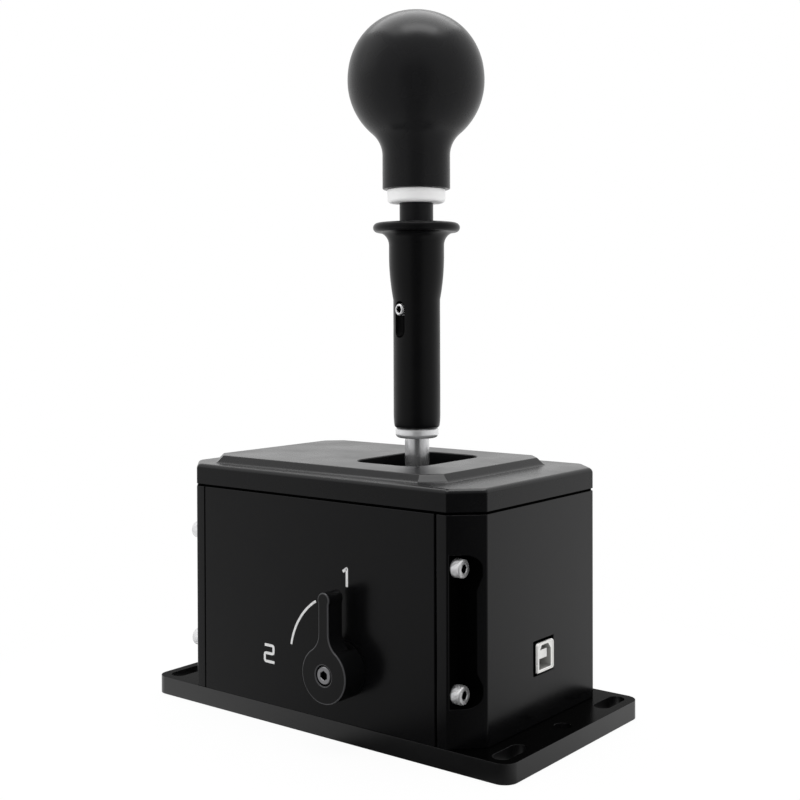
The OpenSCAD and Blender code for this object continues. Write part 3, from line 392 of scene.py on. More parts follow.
# %% [markdown]
# ## Breaking the edges of the plates
# A milled plate never has a knife edge: the fitter breaks it by a few tenths of a millimetre. That
# chamfer catches the light and draws the thin lines by which a black box is seen. The CAD plates
# have the right shape but sharp edges, so each is copied, its loose triangles are merged, flat areas
# are joined into whole faces, and every corner steeper than 32 degrees gets a fine bevel. A Bevel
# modifier could do the last step too, but here one line of the script says which edges it takes.
# Where two plates meet, a real joint is a dark line, so a side panel's copy stops a little short of
# the end plates.

# %% A copy of a CAD node with broken edges
WELD, TOUCH = 2e-6, 0.01  # triangles join within WELD metres, and an end is met within TOUCH mm
FLAT, STEEP, CRISP = np.radians([0.6, 32, 40])


def broken_edges(node, width, material, body, steps=2, clamp=False, seams=(0.0, 0.0),
                 second=None, where=None, front=np.inf):
    """Copy of a node: merged, flat faces dissolved, then steep edges bevelled by width millimetres.
    A clamped bevel gets no wider than the shortest edge allows. The seams move the low and the high
    end along X inwards. The second material goes on the bevel, or on the faces that where picks by
    their centres and normals. Only edges with Y below front count."""
    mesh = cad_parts[node].data.copy()
    (low, _, _), (high, _, _) = node_box(node)
    points = np.empty(3 * len(mesh.vertices))
    mesh.vertices.foreach_get("co", points)
    x = points[::3] / MM
    points[::3] += MM * (seams[0] * (x < low + TOUCH) - seams[1] * (x > high - TOUCH))
    mesh.vertices.foreach_set("co", points)
    work = bmesh.new()
    work.from_mesh(mesh)
    bmesh.ops.remove_doubles(work, verts=work.verts, dist=WELD)
    bmesh.ops.dissolve_limit(work, angle_limit=FLAT, verts=work.verts, edges=work.edges)
    steep = [e for e in work.edges
             if len(e.link_faces) == 2 and e.calc_face_angle() > STEEP
             and max(point.co.y for point in e.verts) < front * MM]
    bmesh.ops.bevel(work, geom=steep, offset=width * MM, offset_type="OFFSET", segments=steps,
                    profile=0.5, affect="EDGES", clamp_overlap=clamp, material=-1 if where else 1)
    work.to_mesh(mesh)
    work.free()
    if where:
        centres, normals = np.empty((2, 3 * len(mesh.polygons)))
        mesh.polygons.foreach_get("center", centres)
        mesh.polygons.foreach_get("normal", normals)
        marks = where(centres.reshape(-1, 3) / MM, normals.reshape(-1, 3))
        mesh.polygons.foreach_set("material_index", marks.astype(np.int32))
    mesh.shade_smooth()
    mesh.set_sharp_from_angle(angle=CRISP)
    return register(mesh, node + "_edged", material, body, (node,), (second,) if second else ())


print("corners steeper than %.0f degrees get a bevel" % np.degrees(STEEP))

# %% [markdown]
# ## Which faces get a second finish
# The base plate's top lies in the shade of the box, so it gets painted shade, darker than its milled
# rim. An end plate's corners are cut off, and a pocket for two screws goes in behind each cut, and
# the pocket's faces get painted shade too. The faces of both are picked by where they are and where
# they look, which survives any change to the mesh.

# %% The plates
POCKET_X, POCKET_Y, BEHIND = 58, 36, 0.2  # a pocket's inner bounds, and how far its faces lie behind


def on_top(centres, normals):
    """Faces that look up, which get painted shade."""
    return normals[:, 2] > 0.9


def in_pocket(centres, normals):
    """Faces behind the plane |x| + |y| = HALF_LENGTH + HALF_WIDTH - CORNER_CUT of a corner's cut, and
    behind the end and the side of the box."""
    x, y = np.abs(centres[:, 0]), np.abs(centres[:, 1])
    behind_cut = x + y < HALF_LENGTH + HALF_WIDTH - CORNER_CUT - BEHIND
    inside = (x < HALF_LENGTH - BEHIND) & (y < HALF_WIDTH - BEHIND)
    return behind_cut & inside & (x > POCKET_X) & (y > POCKET_Y)


TIGHT, SNUG, LOOSE = (0.0, 0.0), (0.4, 0.9), (0.9, 0.9)
# Each row: plate, chamfer in mm, seams, finish, second finish and its faces, clamped bevel.
plates = [
    ("base_plate", 0.5, TIGHT, base_black, base_top_painted_shade, on_top, True),
    ("end_plate_socket", 0.35, TIGHT, end_black, shadow_black, in_pocket, False),
    ("end_plate_plain", 0.35, TIGHT, end_black, shadow_black, in_pocket, False),
    ("side_panel_selector", 0.3, SNUG, panel_black, None, None, False),
    ("side_panel_plain", 0.3, LOOSE, panel_black, None, None, False),
    ("gate_plate", 0.25, TIGHT, blackened_steel, None, None, True)]
for plate, chamfer, seams, finish, second, where, clamp in plates:
    broken_edges(plate, chamfer, finish, "housing", clamp=clamp,
                 seams=seams, second=second, where=where)

# %% [markdown]
# ## Outlines with eight rounded corners
# Seen from above, the lid, its raised part and its window are all rectangles with cut corners, and
# each corner has a small radius from the end mill. One function gives the eight corners and another
# rounds them, always into the same number of points, so that any two outlines can be joined.

# %% Outline helpers
SHRINK = 2 - np.sqrt(2)  # a 45 degree cut gets this much smaller per millimetre that its sides go in


def cut_corners(low, high, cut):
    """The eight corners of a rectangle whose four corners are cut at 45 degrees, counter-clockwise."""
    (x0, y0), (x1, y1) = low, high
    return np.array([
        [x0 + cut, y0], [x1 - cut, y0], [x1, y0 + cut], [x1, y1 - cut],
        [x1 - cut, y1], [x0 + cut, y1], [x0, y1 - cut], [x0, y0 + cut]], float)


def rounded(corners, radius, steps=6):
    """Each corner becomes an arc tangent to its two sides: the tangent point lies the radius over
    the tangent of the half angle from the corner, and the arc turns through the rest of 180 degrees."""
    back = np.roll(corners, 1, axis=0) - corners
    ahead = np.roll(corners, -1, axis=0) - corners
    back /= np.linalg.norm(back, axis=1, keepdims=True)
    ahead /= np.linalg.norm(ahead, axis=1, keepdims=True)
    half = np.arccos(np.clip((back * ahead).sum(1), -1, 1)) / 2
    middle = back + ahead
    middle /= np.linalg.norm(middle, axis=1, keepdims=True)
    centre = corners + middle * (radius / np.sin(half))[:, None]
    spoke = corners + back * (radius / np.tan(half))[:, None] - centre
    side = np.stack([-spoke[:, 1], spoke[:, 0]], axis=1)
    turn = ((np.pi - 2 * half)[:, None] * np.linspace(0, 1, steps + 1)[None, :])[..., None]
    arcs = centre[:, None] + spoke[:, None] * np.cos(turn) + side[:, None] * np.sin(turn)
    return arcs.reshape(-1, 2)


def at_height(outline, z):
    """A flat outline lifted to z."""
    return np.column_stack([outline, np.full(len(outline), z)])


print("points in one outline:", len(rounded(cut_corners((0, 0), (9, 9), 2), 0.5)))

# %% [markdown]
# ## The lid as a stack of outlines
# The lid is one milled block. From below it has a groove above the seam, painted near black as
# painted shade, an upright side, painted with a darker copy of the lid's finish as painted shade, a
# rounded shoulder, a flat ledge, a bevelled run up to the raised part, and a window for the lever.
# Each of these is an outline at a height. If all of them have the same number of points, the lid is
# the skin stretched over the stack. The foot of the bevel is hollow, as a round cutter leaves it.
# Cuts with booleans could carve it from a block, but they leave uneven faces just where the broad,
# soft highlights have to run smoothly.

# %% The lid's plans
LID_LOW, LID_HIGH = heights("lid")
RAISE, SHOULDER, BEVEL_RUN = 3.0, 1.9, 2.9
LEDGE = LID_HIGH - RAISE
RAISED_LEFT, RAISED_RIGHT, RAISED_SIDE, RAISED_CUT = 7.4, 20.2, 6.6, 6.4  # distances from the lid's rim
WINDOW_MIDDLE, WINDOW_RADIUS = np.array([LEVER_AXIS[0], 0.6]), 8.5
WINDOW_REACH = np.array([34.2, 47.4]) / 2


def lid_outline(inset, z, radius=0.8):
    """The lid's plan moved inwards, at z. Its cuts shrink by 2 - sqrt(2) of the inset."""
    reach = np.array([HALF_LENGTH - inset, HALF_WIDTH - inset])
    return at_height(rounded(cut_corners(-reach, reach, CORNER_CUT - inset * SHRINK), radius), z)


def raised_outline(run, z, radius=0.5):
    """Plan of the run up to the raised part: 0 at its foot, 1 at its top, negative on the ledge. All
    eight sides move inwards alike, so a cut shrinks by 2 - sqrt(2) of that way."""
    inset = BEVEL_RUN * run
    low = [RAISED_LEFT + inset - HALF_LENGTH, RAISED_SIDE + inset - HALF_WIDTH]
    high = [HALF_LENGTH - RAISED_RIGHT - inset, HALF_WIDTH - RAISED_SIDE - inset]
    cut = RAISED_CUT + (BEVEL_RUN - inset) * SHRINK
    return at_height(rounded(cut_corners(low, high, cut), radius), z)


def window_outline(grow, z):
    """Plan of the lever window, grown outwards for its broken edge. With a cut of 2 - sqrt(2) of the
    radius, the two arcs at a corner nearly meet and make a quarter circle."""
    reach, radius = WINDOW_REACH + grow, WINDOW_RADIUS + grow
    corners = cut_corners(WINDOW_MIDDLE - reach, WINDOW_MIDDLE + reach, radius * SHRINK)
    return at_height(rounded(corners, 0.998 * radius), z)


print("the ledge lies at %.1f mm and the raised part at %.1f mm" % (LEDGE, LID_HIGH))

# %% The lid's skin
GROOVE_DEPTH, GROOVE_TOP, WINDOW_EDGE, HOLLOW_RUN = 0.6, 0.9, 0.35, 0.3
turn = np.radians(np.linspace(0, 90, 8))
run = np.concatenate([np.linspace(-HOLLOW_RUN, HOLLOW_RUN, 7), [0.6, 0.92]])
# The height follows a parabola over the hollow foot, then rises in step with the run.
climb = np.where(run < HOLLOW_RUN, (run + HOLLOW_RUN) ** 2 / (4 * HOLLOW_RUN), run) * RAISE

groove = [lid_outline(GROOVE_DEPTH, LID_LOW), lid_outline(GROOVE_DEPTH, LID_LOW + GROOVE_TOP)]
side = [lid_outline(0.1, LID_LOW + GROOVE_TOP), lid_outline(0, LID_LOW + GROOVE_TOP + 0.1)]
shoulder = [lid_outline(SHOULDER * (1 - np.cos(t)), LEDGE - SHOULDER * (1 - np.sin(t)),
                        0.8 + 2.2 * np.sin(t)) for t in turn]
bevel = [raised_outline(r, LEDGE + c) for r, c in zip(run, climb)]
top = [raised_outline(0.99, LID_HIGH - 0.08), raised_outline(1.1, LID_HIGH)]
window = [window_outline(WINDOW_EDGE, LID_HIGH), window_outline(0, LID_HIGH - WINDOW_EDGE),
          window_outline(0, LID_LOW)]
lid_rings = groove + side + shoulder + bevel + top + window
lid_faces = ring_faces(len(lid_rings), len(lid_rings[0]), True)
lid_step = np.arange(len(lid_faces)) // len(lid_rings[0])
# painted shade: the groove's faces get the near-black finish and the side's faces a darker copy of the
# lid's
IN_GROOVE, ON_SIDE = lid_step < 2, lid_step < 5
new_piece("lid_milled", np.concatenate(lid_rings), lid_faces, lid_black, "housing", ("lid",),
          "black_anodised", angle=28, others=(shadow_black, lid_side_painted_shade),
          marks=np.where(IN_GROOVE, 1, np.where(ON_SIDE, 2, 0)).astype(np.int32))

# %% [markdown]
# ## Turned pieces
# Rod, collar, sleeve, stem, ring and knob all come from a lathe, so each is a profile of radii and
# heights carried round the lever's axis. A profile that starts and ends on the axis is closed by
# itself. A tube's profile runs up its outside and back down its bore and closes on itself. A Screw
# modifier would turn the same profile, but a plain mesh is easier to cut and to measure.

# %% The lathe
def turned(name, profile, material, body, node, slot, closed=True, segments=128, angle=SHARP):
    """x = r cos a, y = r sin a, z = h, for each profile point (r, h) and each angle a."""
    r, h = np.asarray(profile, float).T
    a = np.linspace(0, 2 * np.pi, segments, endpoint=False)
    points = np.stack([LEVER_AXIS[0] + np.outer(r, np.cos(a)), LEVER_AXIS[1] + np.outer(r, np.sin(a)),
                       np.repeat(h[:, None], segments, axis=1)], axis=-1).reshape(-1, 3)
    faces = ring_faces(len(r), segments, closed)
    return new_piece(name, points, faces, material, body, (node,), slot, angle)


def arc(centre, radius, start, end, steps):
    """Points on an arc of a profile, angles in degrees: centre + radius (cos a, sin a)."""
    a = np.radians(np.linspace(start, end, steps + 1))
    return np.stack([centre[0] + radius * np.cos(a), centre[1] + radius * np.sin(a)], axis=1)


print("a quarter arc of radius 1 ends at", arc((0, 0), 1, 0, 90, 4)[-1].round(3))

# %% Rod, collar, stem and ring
ROD, ROD_FOOT, NECK_TOP = 5, 3.5, LID_LOW + 2.5

low, high = heights("lever_rod")
turned("rod_ground", [
    [0, low], [ROD_FOOT - 0.3, low], [ROD_FOOT, low + 0.3], [ROD_FOOT, NECK_TOP], [ROD, NECK_TOP + 2],
    [ROD, high - 0.5], [ROD - 0.5, high], [0, high]],
    ground_steel, "lever", "lever_rod", "rod_steel", closed=False)

low, high = heights("stop_collar")
turned("collar_polished", [
    [ROD, low], *arc((7.2, low + 1.6), 1.6, -90, 0, 8), [8.8, high - 0.3], [8.5, high], [ROD, high]],
    satin_chrome, "lever", "stop_collar", "collar_chrome")

low, high = heights("stem_tube")
turned("stem_turned", [[ROD, low], [6.7, low], [6.9, low + 0.2], [6.9, high], [ROD, high]],
       stem_painted_light, "lever", "stem_tube", "black_sleeve")

low, high = heights("knob_ring")
turned("knob_ring_turned", [
    [ROD, low], [10, low], *arc((10.1, low + 1.8), 1.8, -80, 0, 6), [11.9, high - 0.25],
    [11.65, high], [ROD, high]],
    frosted_ring, "lever", "knob_ring", "ring_bright")

# %% [markdown]
# ## The knob
# The knob is a ball on a short neck. The neck is a straight cylinder, and a hollow arc leads from it
# into the ball. The hollow arc touches both, so its centre lies one hollow radius outside the neck
# and one ball radius plus one hollow radius from the ball's centre. The crown is a little fuller
# than a ball, to fill the palm: a superellipse, which is an ellipse with a power slightly above 2.
# The highlight runs over the whole profile, so every curve is sampled finely.

# %% The knob's profile
knob_low, knob_high = heights("knob")
BALL, NECK, HOLLOW, CROWN, POWER = 28.0, 13.85, 12.0, 28.45, 2.1
ball_z = knob_high - CROWN
hollow_x = NECK + HOLLOW
hollow_z = ball_z - np.sqrt((BALL + HOLLOW) ** 2 - hollow_x ** 2)
touch = np.degrees(np.arctan2(hollow_z - ball_z, hollow_x))
crown_turn = np.linspace(0, np.pi / 2, 49)[:-1]
crown = np.stack([BALL * np.cos(crown_turn) ** (2 / POWER),
                  ball_z + CROWN * np.sin(crown_turn) ** (2 / POWER)], axis=1)
knob_profile = np.concatenate([
    [[0, knob_low], [12.9, knob_low]], arc((NECK - 0.6, knob_low + 0.6), 0.6, -90, 0, 5),
    arc((hollow_x, hollow_z), HOLLOW, 180, 180 + touch, 16), arc((0, ball_z), BALL, touch, 0, 24)[1:-1],
    crown, [[0, knob_high]]])
turned("knob_moulded", knob_profile, knob_skin, "lever", "knob", "knob_black", closed=False,
       segments=160, angle=50)

# %% [markdown]
# ## The pull sleeve
# The driver lifts this sleeve with two fingers to get into reverse, so it ends in a flange with a
# soft rim. Its foot is drawn in by a quarter ellipse. Three fifths of the way up it starts to swell
# along a parabola, and a second quarter ellipse opens into the flange like a trumpet. A slot with
# round ends runs down its front, and the head of the guide screw shows in it. The tube is turned
# first and the slot is cut with a boolean, as it is in the workshop, where the slot is milled last.

# %% Sleeve
sleeve_low, sleeve_top = heights("pull_sleeve")
TUBE, UPPER, FLANGE, RIM = 9.6, 11.3, 17.8, 1.95
BORE, WIDE_BORE, BORE_END = 5.3, 7.2, sleeve_low + 53.5
s = np.linspace(0, 1, 17)
quarter = np.linspace(0, np.pi / 2, 17)
foot = np.stack([TUBE - 0.6 * (1 - np.sin(quarter)),
                 sleeve_low + 0.4 + 5.6 * (1 - np.cos(quarter))], axis=1)
swell = np.stack([TUBE + (UPPER - TUBE) * (1 - (1 - s) ** 2), sleeve_top - 31.4 + 18.2 * s], axis=1)
trumpet = np.stack([UPPER + (FLANGE - RIM - UPPER) * (1 - np.cos(quarter)),
                    sleeve_top - 9.2 + (9.2 - 2 * RIM) * np.sin(quarter)], axis=1)
sleeve_profile = np.concatenate([
    [[BORE, sleeve_low], [8.6, sleeve_low]], foot, swell, trumpet,
    arc((FLANGE - RIM, sleeve_top - RIM), RIM, -90, 90, 16)[1:],
    [[8.0, sleeve_top], [WIDE_BORE, sleeve_top - 0.6], [WIDE_BORE, BORE_END], [BORE, BORE_END]]])
sleeve = turned("sleeve_turned", sleeve_profile, sleeve_black, "pull_ring", "pull_sleeve",
                "black_sleeve")

# %% The slot in its front
GUIDE_TURN = np.radians(10)
guide_out = np.array([-np.sin(GUIDE_TURN), -np.cos(GUIDE_TURN), 0.0])
guide_side = np.array([np.cos(GUIDE_TURN), -np.sin(GUIDE_TURN), 0.0])
slot_low, slot_high, slot_half = sleeve_low + 36.8, sleeve_low + 51.8, 2.7
CUT_FROM, CUT_TO = 4.2, 14


def slot_cutter():
    """A stadium of half width slot_half from slot_low to slot_high, carried outwards from the rod."""
    across = np.concatenate([
        arc((0, slot_high - slot_half), slot_half, 0, 180, 16),
        arc((0, slot_low + slot_half), slot_half, 180, 360, 16)])
    count = len(across)
    flat = across[:, :1] * guide_side[None, :] + np.column_stack([np.zeros((count, 2)), across[:, 1]])
    flat += [LEVER_AXIS[0], LEVER_AXIS[1], 0]
    points = np.concatenate([flat + guide_out * CUT_FROM, flat + guide_out * CUT_TO])
    faces = ring_faces(2, count, False).tolist()
    faces += [list(range(count)), list(range(2 * count - 1, count - 1, -1))]
    mesh = bpy.data.meshes.new("slot_cutter")
    mesh.from_pydata((points * MM).tolist(), [], faces)
    finish_mesh(mesh)
    cutter = bpy.data.objects.new("slot_cutter", mesh)
    bpy.context.scene.collection.objects.link(cutter)
    return cutter


def cut_away(piece, cutter):
    """Subtracts the cutter and keeps the result as the piece's mesh, with crisp edges at the cut."""
    tool = piece.modifiers.new("slot", "BOOLEAN")
    tool.object, tool.operation, tool.solver = cutter, "DIFFERENCE", "EXACT"
    bpy.context.view_layer.update()
    result = bpy.data.meshes.new_from_object(piece.evaluated_get(bpy.context.evaluated_depsgraph_get()))
    piece.modifiers.remove(tool)
    piece.data = result
    bpy.data.objects.remove(cutter)
    result.set_sharp_from_angle(angle=np.radians(SHARP))
    print("slot cut,", len(result.polygons), "faces")


sleeve.modifiers.remove(sleeve.modifiers["large faces stay flat"])
cut_away(sleeve, slot_cutter())

# %% [markdown]
# ## Cap screws
# The screws and the data socket are the only bright points on the box. A socket-head screw has a
# cylindrical head with a fine straight knurl, a chamfer at the top, a hexagon socket with a chamfered
# mouth and a plain shank. All its rings share the same angles, so a hexagon is only another rule for
# the radius. Inside the hexagon the steel is painted dark, as painted shade in the recess. The eight
# corner screws are one node in the CAD model, so their copies are joined in one piece rather than
# kept as eight objects.

# %% One cap screw
AROUND = np.linspace(0, 2 * np.pi, 96, endpoint=False)
KNURL = 0.1


def hexagon(flats):
    """Radius of a hexagon: half its width over the cosine of the angle to the nearest flat."""
    return flats / 2 / np.cos((AROUND + np.pi / 6) % (np.pi / 3) - np.pi / 6)


def cap_screw(shank, head, height, reach, flats):
    """Rings at (radius, z) from the middle of the socket's floor, over the head, to the shank's tip.
    The knurl lowers every second point of the head. Returns points and faces."""
    plain = np.ones(len(AROUND))
    knurled = head - KNURL * (np.arange(len(AROUND)) % 2)
    socket, floor = hexagon(flats), height - shank
    rings = [(0.0 * plain, floor - 0.5), (socket * 0.98, floor), (socket, height - 0.25),
             (socket + 0.22, height), ((head - 0.45) * plain, height),
             ((head - 0.12) * plain, height - 0.3), (knurled, height - 0.5), (knurled, 0.45),
             ((head - 0.15) * plain, 0.3), ((head - 0.15) * plain, 0.0), (shank * plain, 0.0),
             (shank * plain, -reach + 0.5), ((shank - 0.5) * plain, -reach), (0.0 * plain, -reach)]
    points = [np.column_stack([r * np.cos(AROUND), r * np.sin(AROUND), np.full(len(AROUND), z)])
              for r, z in rings]
    return np.concatenate(points), ring_faces(len(rings), len(AROUND), False)


print("a hexagon 3 mm wide is %.2f mm over its corners" % (2 * hexagon(3.0).max()))

# %% Copies in place
SCREW_X, SCREW_Y, SCREW_ROWS = 65.2, 44.0, (26.7, 72.1)
M4 = dict(shank=2.0, head=3.5, height=4.0, reach=16.0, flats=3.0)
GUIDE = dict(shank=1.5, head=2.4, height=5.0, reach=2.9, flats=2.5)
SELECTOR, SELECTOR_DEPTH, SCREW_SINK = np.array([16.4, 28.3]), 12, 4


def placed(points, origin, axis, side):
    """Turns local X, Y, Z to side, axis x side and axis, then moves to origin."""
    axis, side = np.asarray(axis, float), np.asarray(side, float)
    return points @ np.stack([side, np.cross(axis, side), axis]) + np.asarray(origin)


def screws(name, size, places, material, body, node):
    """One piece with the same cap screw at several places. The first two rows of faces, which are
    the floor and the walls of the hexagon, get painted shade, a dark steel."""
    points, faces = cap_screw(**size)
    marks = (np.arange(len(faces)) < 2 * len(AROUND)).astype(np.int32)
    everywhere = np.concatenate([placed(points, *place) for place in places])
    all_faces = np.concatenate([faces + i * len(points) for i in range(len(places))])
    new_piece(name, everywhere, all_faces, material, body, (node,), "bright_screws", angle=24,
              others=(recess_painted_shade,), marks=np.tile(marks, len(places)))


corner_places = [((end * SCREW_X, y, z), (end, 0, 0), (0, 0, 1))
                 for end in (-1, 1) for y in (-SCREW_Y, SCREW_Y) for z in SCREW_ROWS]
screws("corner_screws_knurled", M4, corner_places, screw_steel, "housing", "corner_screws")
guide_seat = np.array([LEVER_AXIS[0], LEVER_AXIS[1], slot_high - 3.5]) + guide_out * ROD
screws("guide_screw_knurled", GUIDE, [(guide_seat, guide_out, (0, 0, 1))], screw_steel, "lever",
       "guide_screw")
selector_seat = (SELECTOR[0], -(HALF_WIDTH + SELECTOR_DEPTH - SCREW_SINK), SELECTOR[1])
screws("selector_screw_knurled", {**M4, "height": 3.8, "reach": 7.6},
       [(selector_seat, (0, -1, 0), (1, 0, 0))], zinc_steel, "selector", "selector_screw")

# %% [markdown]
# ## The mode selector
# A small lever with a round hub and a slim grip, cut from one bar. Its face has a chamfer all round,
# and that fine line is all that separates black from black. The chamfer is painted a lighter grey, a
# painted highlight where it catches the light. The CAD shape is exact, so it only needs the edges of
# that face broken.

# %% Selector
broken_edges("selector_lever", 0.45, grip_black, "selector", steps=3,
             second=edge_painted_highlight, front=-(HALF_WIDTH + SELECTOR_DEPTH) + 0.1)

# %% [markdown]
# ## Marks on the side panel
# A printed arc shows the way from one mode to the other, and a plain figure stands at each end. A
# printed line is a flat band of even width carried along a path. Offsetting the path to both sides by
# half the width along its normal gives the two edges of the band. A texture could carry the marks
# as well, but a band is as crisp from near as from far. The ink is a few hundredths of a millimetre
# thick, too thin to cast a shadow of its own.

# %% Flat bands of ink
PANEL_FACE = -HALF_WIDTH
INK, SUNK = 0.04, 0.02  # how far the ink stands above the panel and reaches into it


def soft_path(corners, radius, steps=5):
    """An open path whose inner corners are rounded by a quadratic curve that starts radius before
    them: (1 - s)^2 before + 2 s (1 - s) corner + s^2 after."""
    corners = np.asarray(corners, float)
    turns = corners[1:-1]
    back = corners[:-2] - turns
    ahead = corners[2:] - turns
    before = turns + back / np.linalg.norm(back, axis=1, keepdims=True) * radius
    after = turns + ahead / np.linalg.norm(ahead, axis=1, keepdims=True) * radius
    s = np.linspace(0, 1, steps + 1)[None, :, None]
    bends = (1 - s) ** 2 * before[:, None] + 2 * s * (1 - s) * turns[:, None] + s ** 2 * after[:, None]
    return np.concatenate([corners[:1], bends.reshape(-1, 2), corners[-1:]])


def ink_band(path, width):
    """Four rings of corners along the path, at half the width to each side, in and above the panel."""
    along = np.gradient(path, axis=0)
    along /= np.linalg.norm(along, axis=1, keepdims=True)
    normal = np.stack([-along[:, 1], along[:, 0]], axis=1) * width / 2
    edges = [(path + normal, -SUNK), (path - normal, -SUNK), (path - normal, INK), (path + normal, INK)]
    points = np.stack([np.column_stack([e[:, 0], np.full(len(e), PANEL_FACE - d), e[:, 1]])
                       for e, d in edges], axis=1).reshape(-1, 3)
    faces = ring_faces(len(path), 4, False).tolist()
    return points, faces + [[0, 1, 2, 3], [len(points) - k for k in (1, 2, 3, 4)]]


print("a path with one corner becomes", len(soft_path([(0, 0), (1, 0), (1, 1)], 0.2)), "points")

# %% The arc and the two figures
ARC_RADIUS, ARC_FROM, ARC_TO, ARC_WIDTH, STROKE = 27.76, 31, 79.5, 0.95, 1.1
sweep = np.radians(np.linspace(ARC_FROM, ARC_TO, 49))
arc_path = SELECTOR + ARC_RADIUS * np.stack([-np.sin(sweep), np.cos(sweep)], axis=1)
one = soft_path([(15.9, 65.3), (17.9, 66.7), (17.9, 59.7)], 0.25)
two = soft_path([(-25.4, 30.95), (-20.6, 30.95), (-20.6, 27.7), (-25.4, 27.7), (-25.4, 24.4),
                 (-20.1, 24.4)], 0.9)
for mark, path, width in (("arc", arc_path, ARC_WIDTH), ("one", one, STROKE), ("two", two, STROKE)):
    new_piece("printed_" + mark, *ink_band(path, width), print_ink, "housing")

# %% [markdown]
# ## The data socket
# The socket is a folded sheet-metal shell round a pale moulded insulator with a D-shaped mouth and a
# tongue in its middle. The shell is again a stack of outlines, this time looking along X, with a
# rounded lip. The shell's wall inside the gap gets painted shade. The insulator is the CAD shape with
# broken edges, and its mouth gets painted shade, a darker grey.

# %% Shell and insulator
port_low, port_high = node_box("socket_shell")
port_middle = (port_low[1:] + port_high[1:]) / 2
port_reach = (port_high[1:] - port_low[1:]) / 2
port_front, port_back = port_high[0], port_low[0]
insert_front = node_box("socket_insert")[1][0]
MOUTH_RIM, TONGUE_REACH = 0.5, 3  # depth at which the mouth's shade starts, and where the tongue ends


def port_outline(inset, x, radius=0.6):
    """The socket's rectangular plan in Y and Z, moved inwards, with small round corners, at x."""
    reach = port_reach - inset
    outline = rounded(cut_corners(port_middle - reach, port_middle + reach, 0.5), radius)
    return np.column_stack([np.full(len(outline), x), outline])


def in_mouth(centres, normals):
    """Faces of the insulator deeper than its rim, but not the front of the tongue. They get painted
    shade.
    """
    x, facing = centres[:, 0], normals[:, 0] > 0.9
    return (x < insert_front - MOUTH_RIM) & ~(facing & (x > insert_front - TONGUE_REACH))


shell = [port_outline(inset, x) for inset, x in (
    (0.3, port_back), (0.0, port_back + 0.3), (0.0, port_front - 0.9), (0.08, port_front - 0.5),
    (0.22, port_front - 0.18), (0.4, port_front), (0.5, port_front - 0.05), (0.5, port_back + 0.5))]
count = len(shell[0])
shell_faces = ring_faces(len(shell), count, False).tolist()
last = len(shell) * count - 1
shell_faces += [list(range(count)), list(range(last, last - count, -1))]
# the shell's wall inside the gap gets painted shade
in_wall = (np.arange(len(shell_faces)) < 2 * count).astype(np.int32)
new_piece("socket_shell_folded", np.concatenate(shell), shell_faces, nickel_plate, "housing",
          ("socket_shell",), "socket_nickel", others=(recess_painted_shade,), marks=in_wall)
broken_edges("socket_insert", 0.12, socket_plastic, "housing",
             second=mouth_plastic, where=in_mouth)

# %% [markdown]
# ## Springs
# A compression spring is a round wire wound on a helix, and its end turns lie closer together so that
# it can stand. In the shifter one end stays with the body that holds the spring and the other goes
# with the body that presses it, so every turn moves by its own share; here each spring is made at
# rest and tied to no body. A curve with a round bevel would give the same wire, but the mesh is made
# at once.

# %% Helical springs
CLOSER, ALONG_Y, ALONG_Z = 0.35, 1, 2


def wound(node, axis, wire, turns, held_end):
    """A circle of the wire's radius along a helix. With s from 0 to 1 and a = 2 pi turns s, the wire's
    middle is at (R cos a, R sin a), and s - CLOSER sin(2 pi s) / 2 pi of the way up, so the ends lie
    closer. held_end is 0 for the low end and 1 for the high one."""
    low, high = node_box(node)
    middle = (low + high) / 2
    s = np.linspace(0, 1, turns * 32 + 1)[:, None]
    b = np.linspace(0, 2 * np.pi, 12, endpoint=False)[None, :]
    away = (high[0] - low[0] - wire) / 2 + wire / 2 * np.cos(b)
    rise = (high[axis] - low[axis] - wire) * (s - CLOSER * np.sin(2 * np.pi * s) / (2 * np.pi))
    points = np.empty((len(s), b.size, 3))
    points[..., 0] = middle[0] + away * np.cos(2 * np.pi * turns * s)
    points[..., 3 - axis] = middle[3 - axis] + away * np.sin(2 * np.pi * turns * s)
    points[..., axis] = low[axis] + wire / 2 + rise + wire / 2 * np.sin(b)
    faces = ring_faces(len(s), b.size, False).tolist()
    last = len(s) * b.size - 1
    faces += [list(range(b.size)), list(range(last, last - b.size, -1))]
    piece = new_piece(node + "_wound", points.reshape(-1, 3), faces, spring_wire, None, (node,),
                      "spring_steel", angle=50)
    ends = np.stack([middle, middle])
    ends[:, axis] = (high[axis], low[axis]) if held_end else (low[axis], high[axis])
    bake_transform(piece)


wound("centring_spring_selector", ALONG_Y, 0.9, 4, 0)
wound("centring_spring_plain", ALONG_Y, 0.9, 4, 1)
wound("sleeve_spring", ALONG_Z, 1.2, 6, 1)
wound("plunger_spring", ALONG_Y, 0.7, 3, 1)

# %% [markdown]
# ## Finishes for the pieces that keep their CAD shape
# The pivot, the boards and the bolts sit inside the box, where only the light through the window
# reaches them. Their CAD shape is enough, and each gets the finish of the real thing.

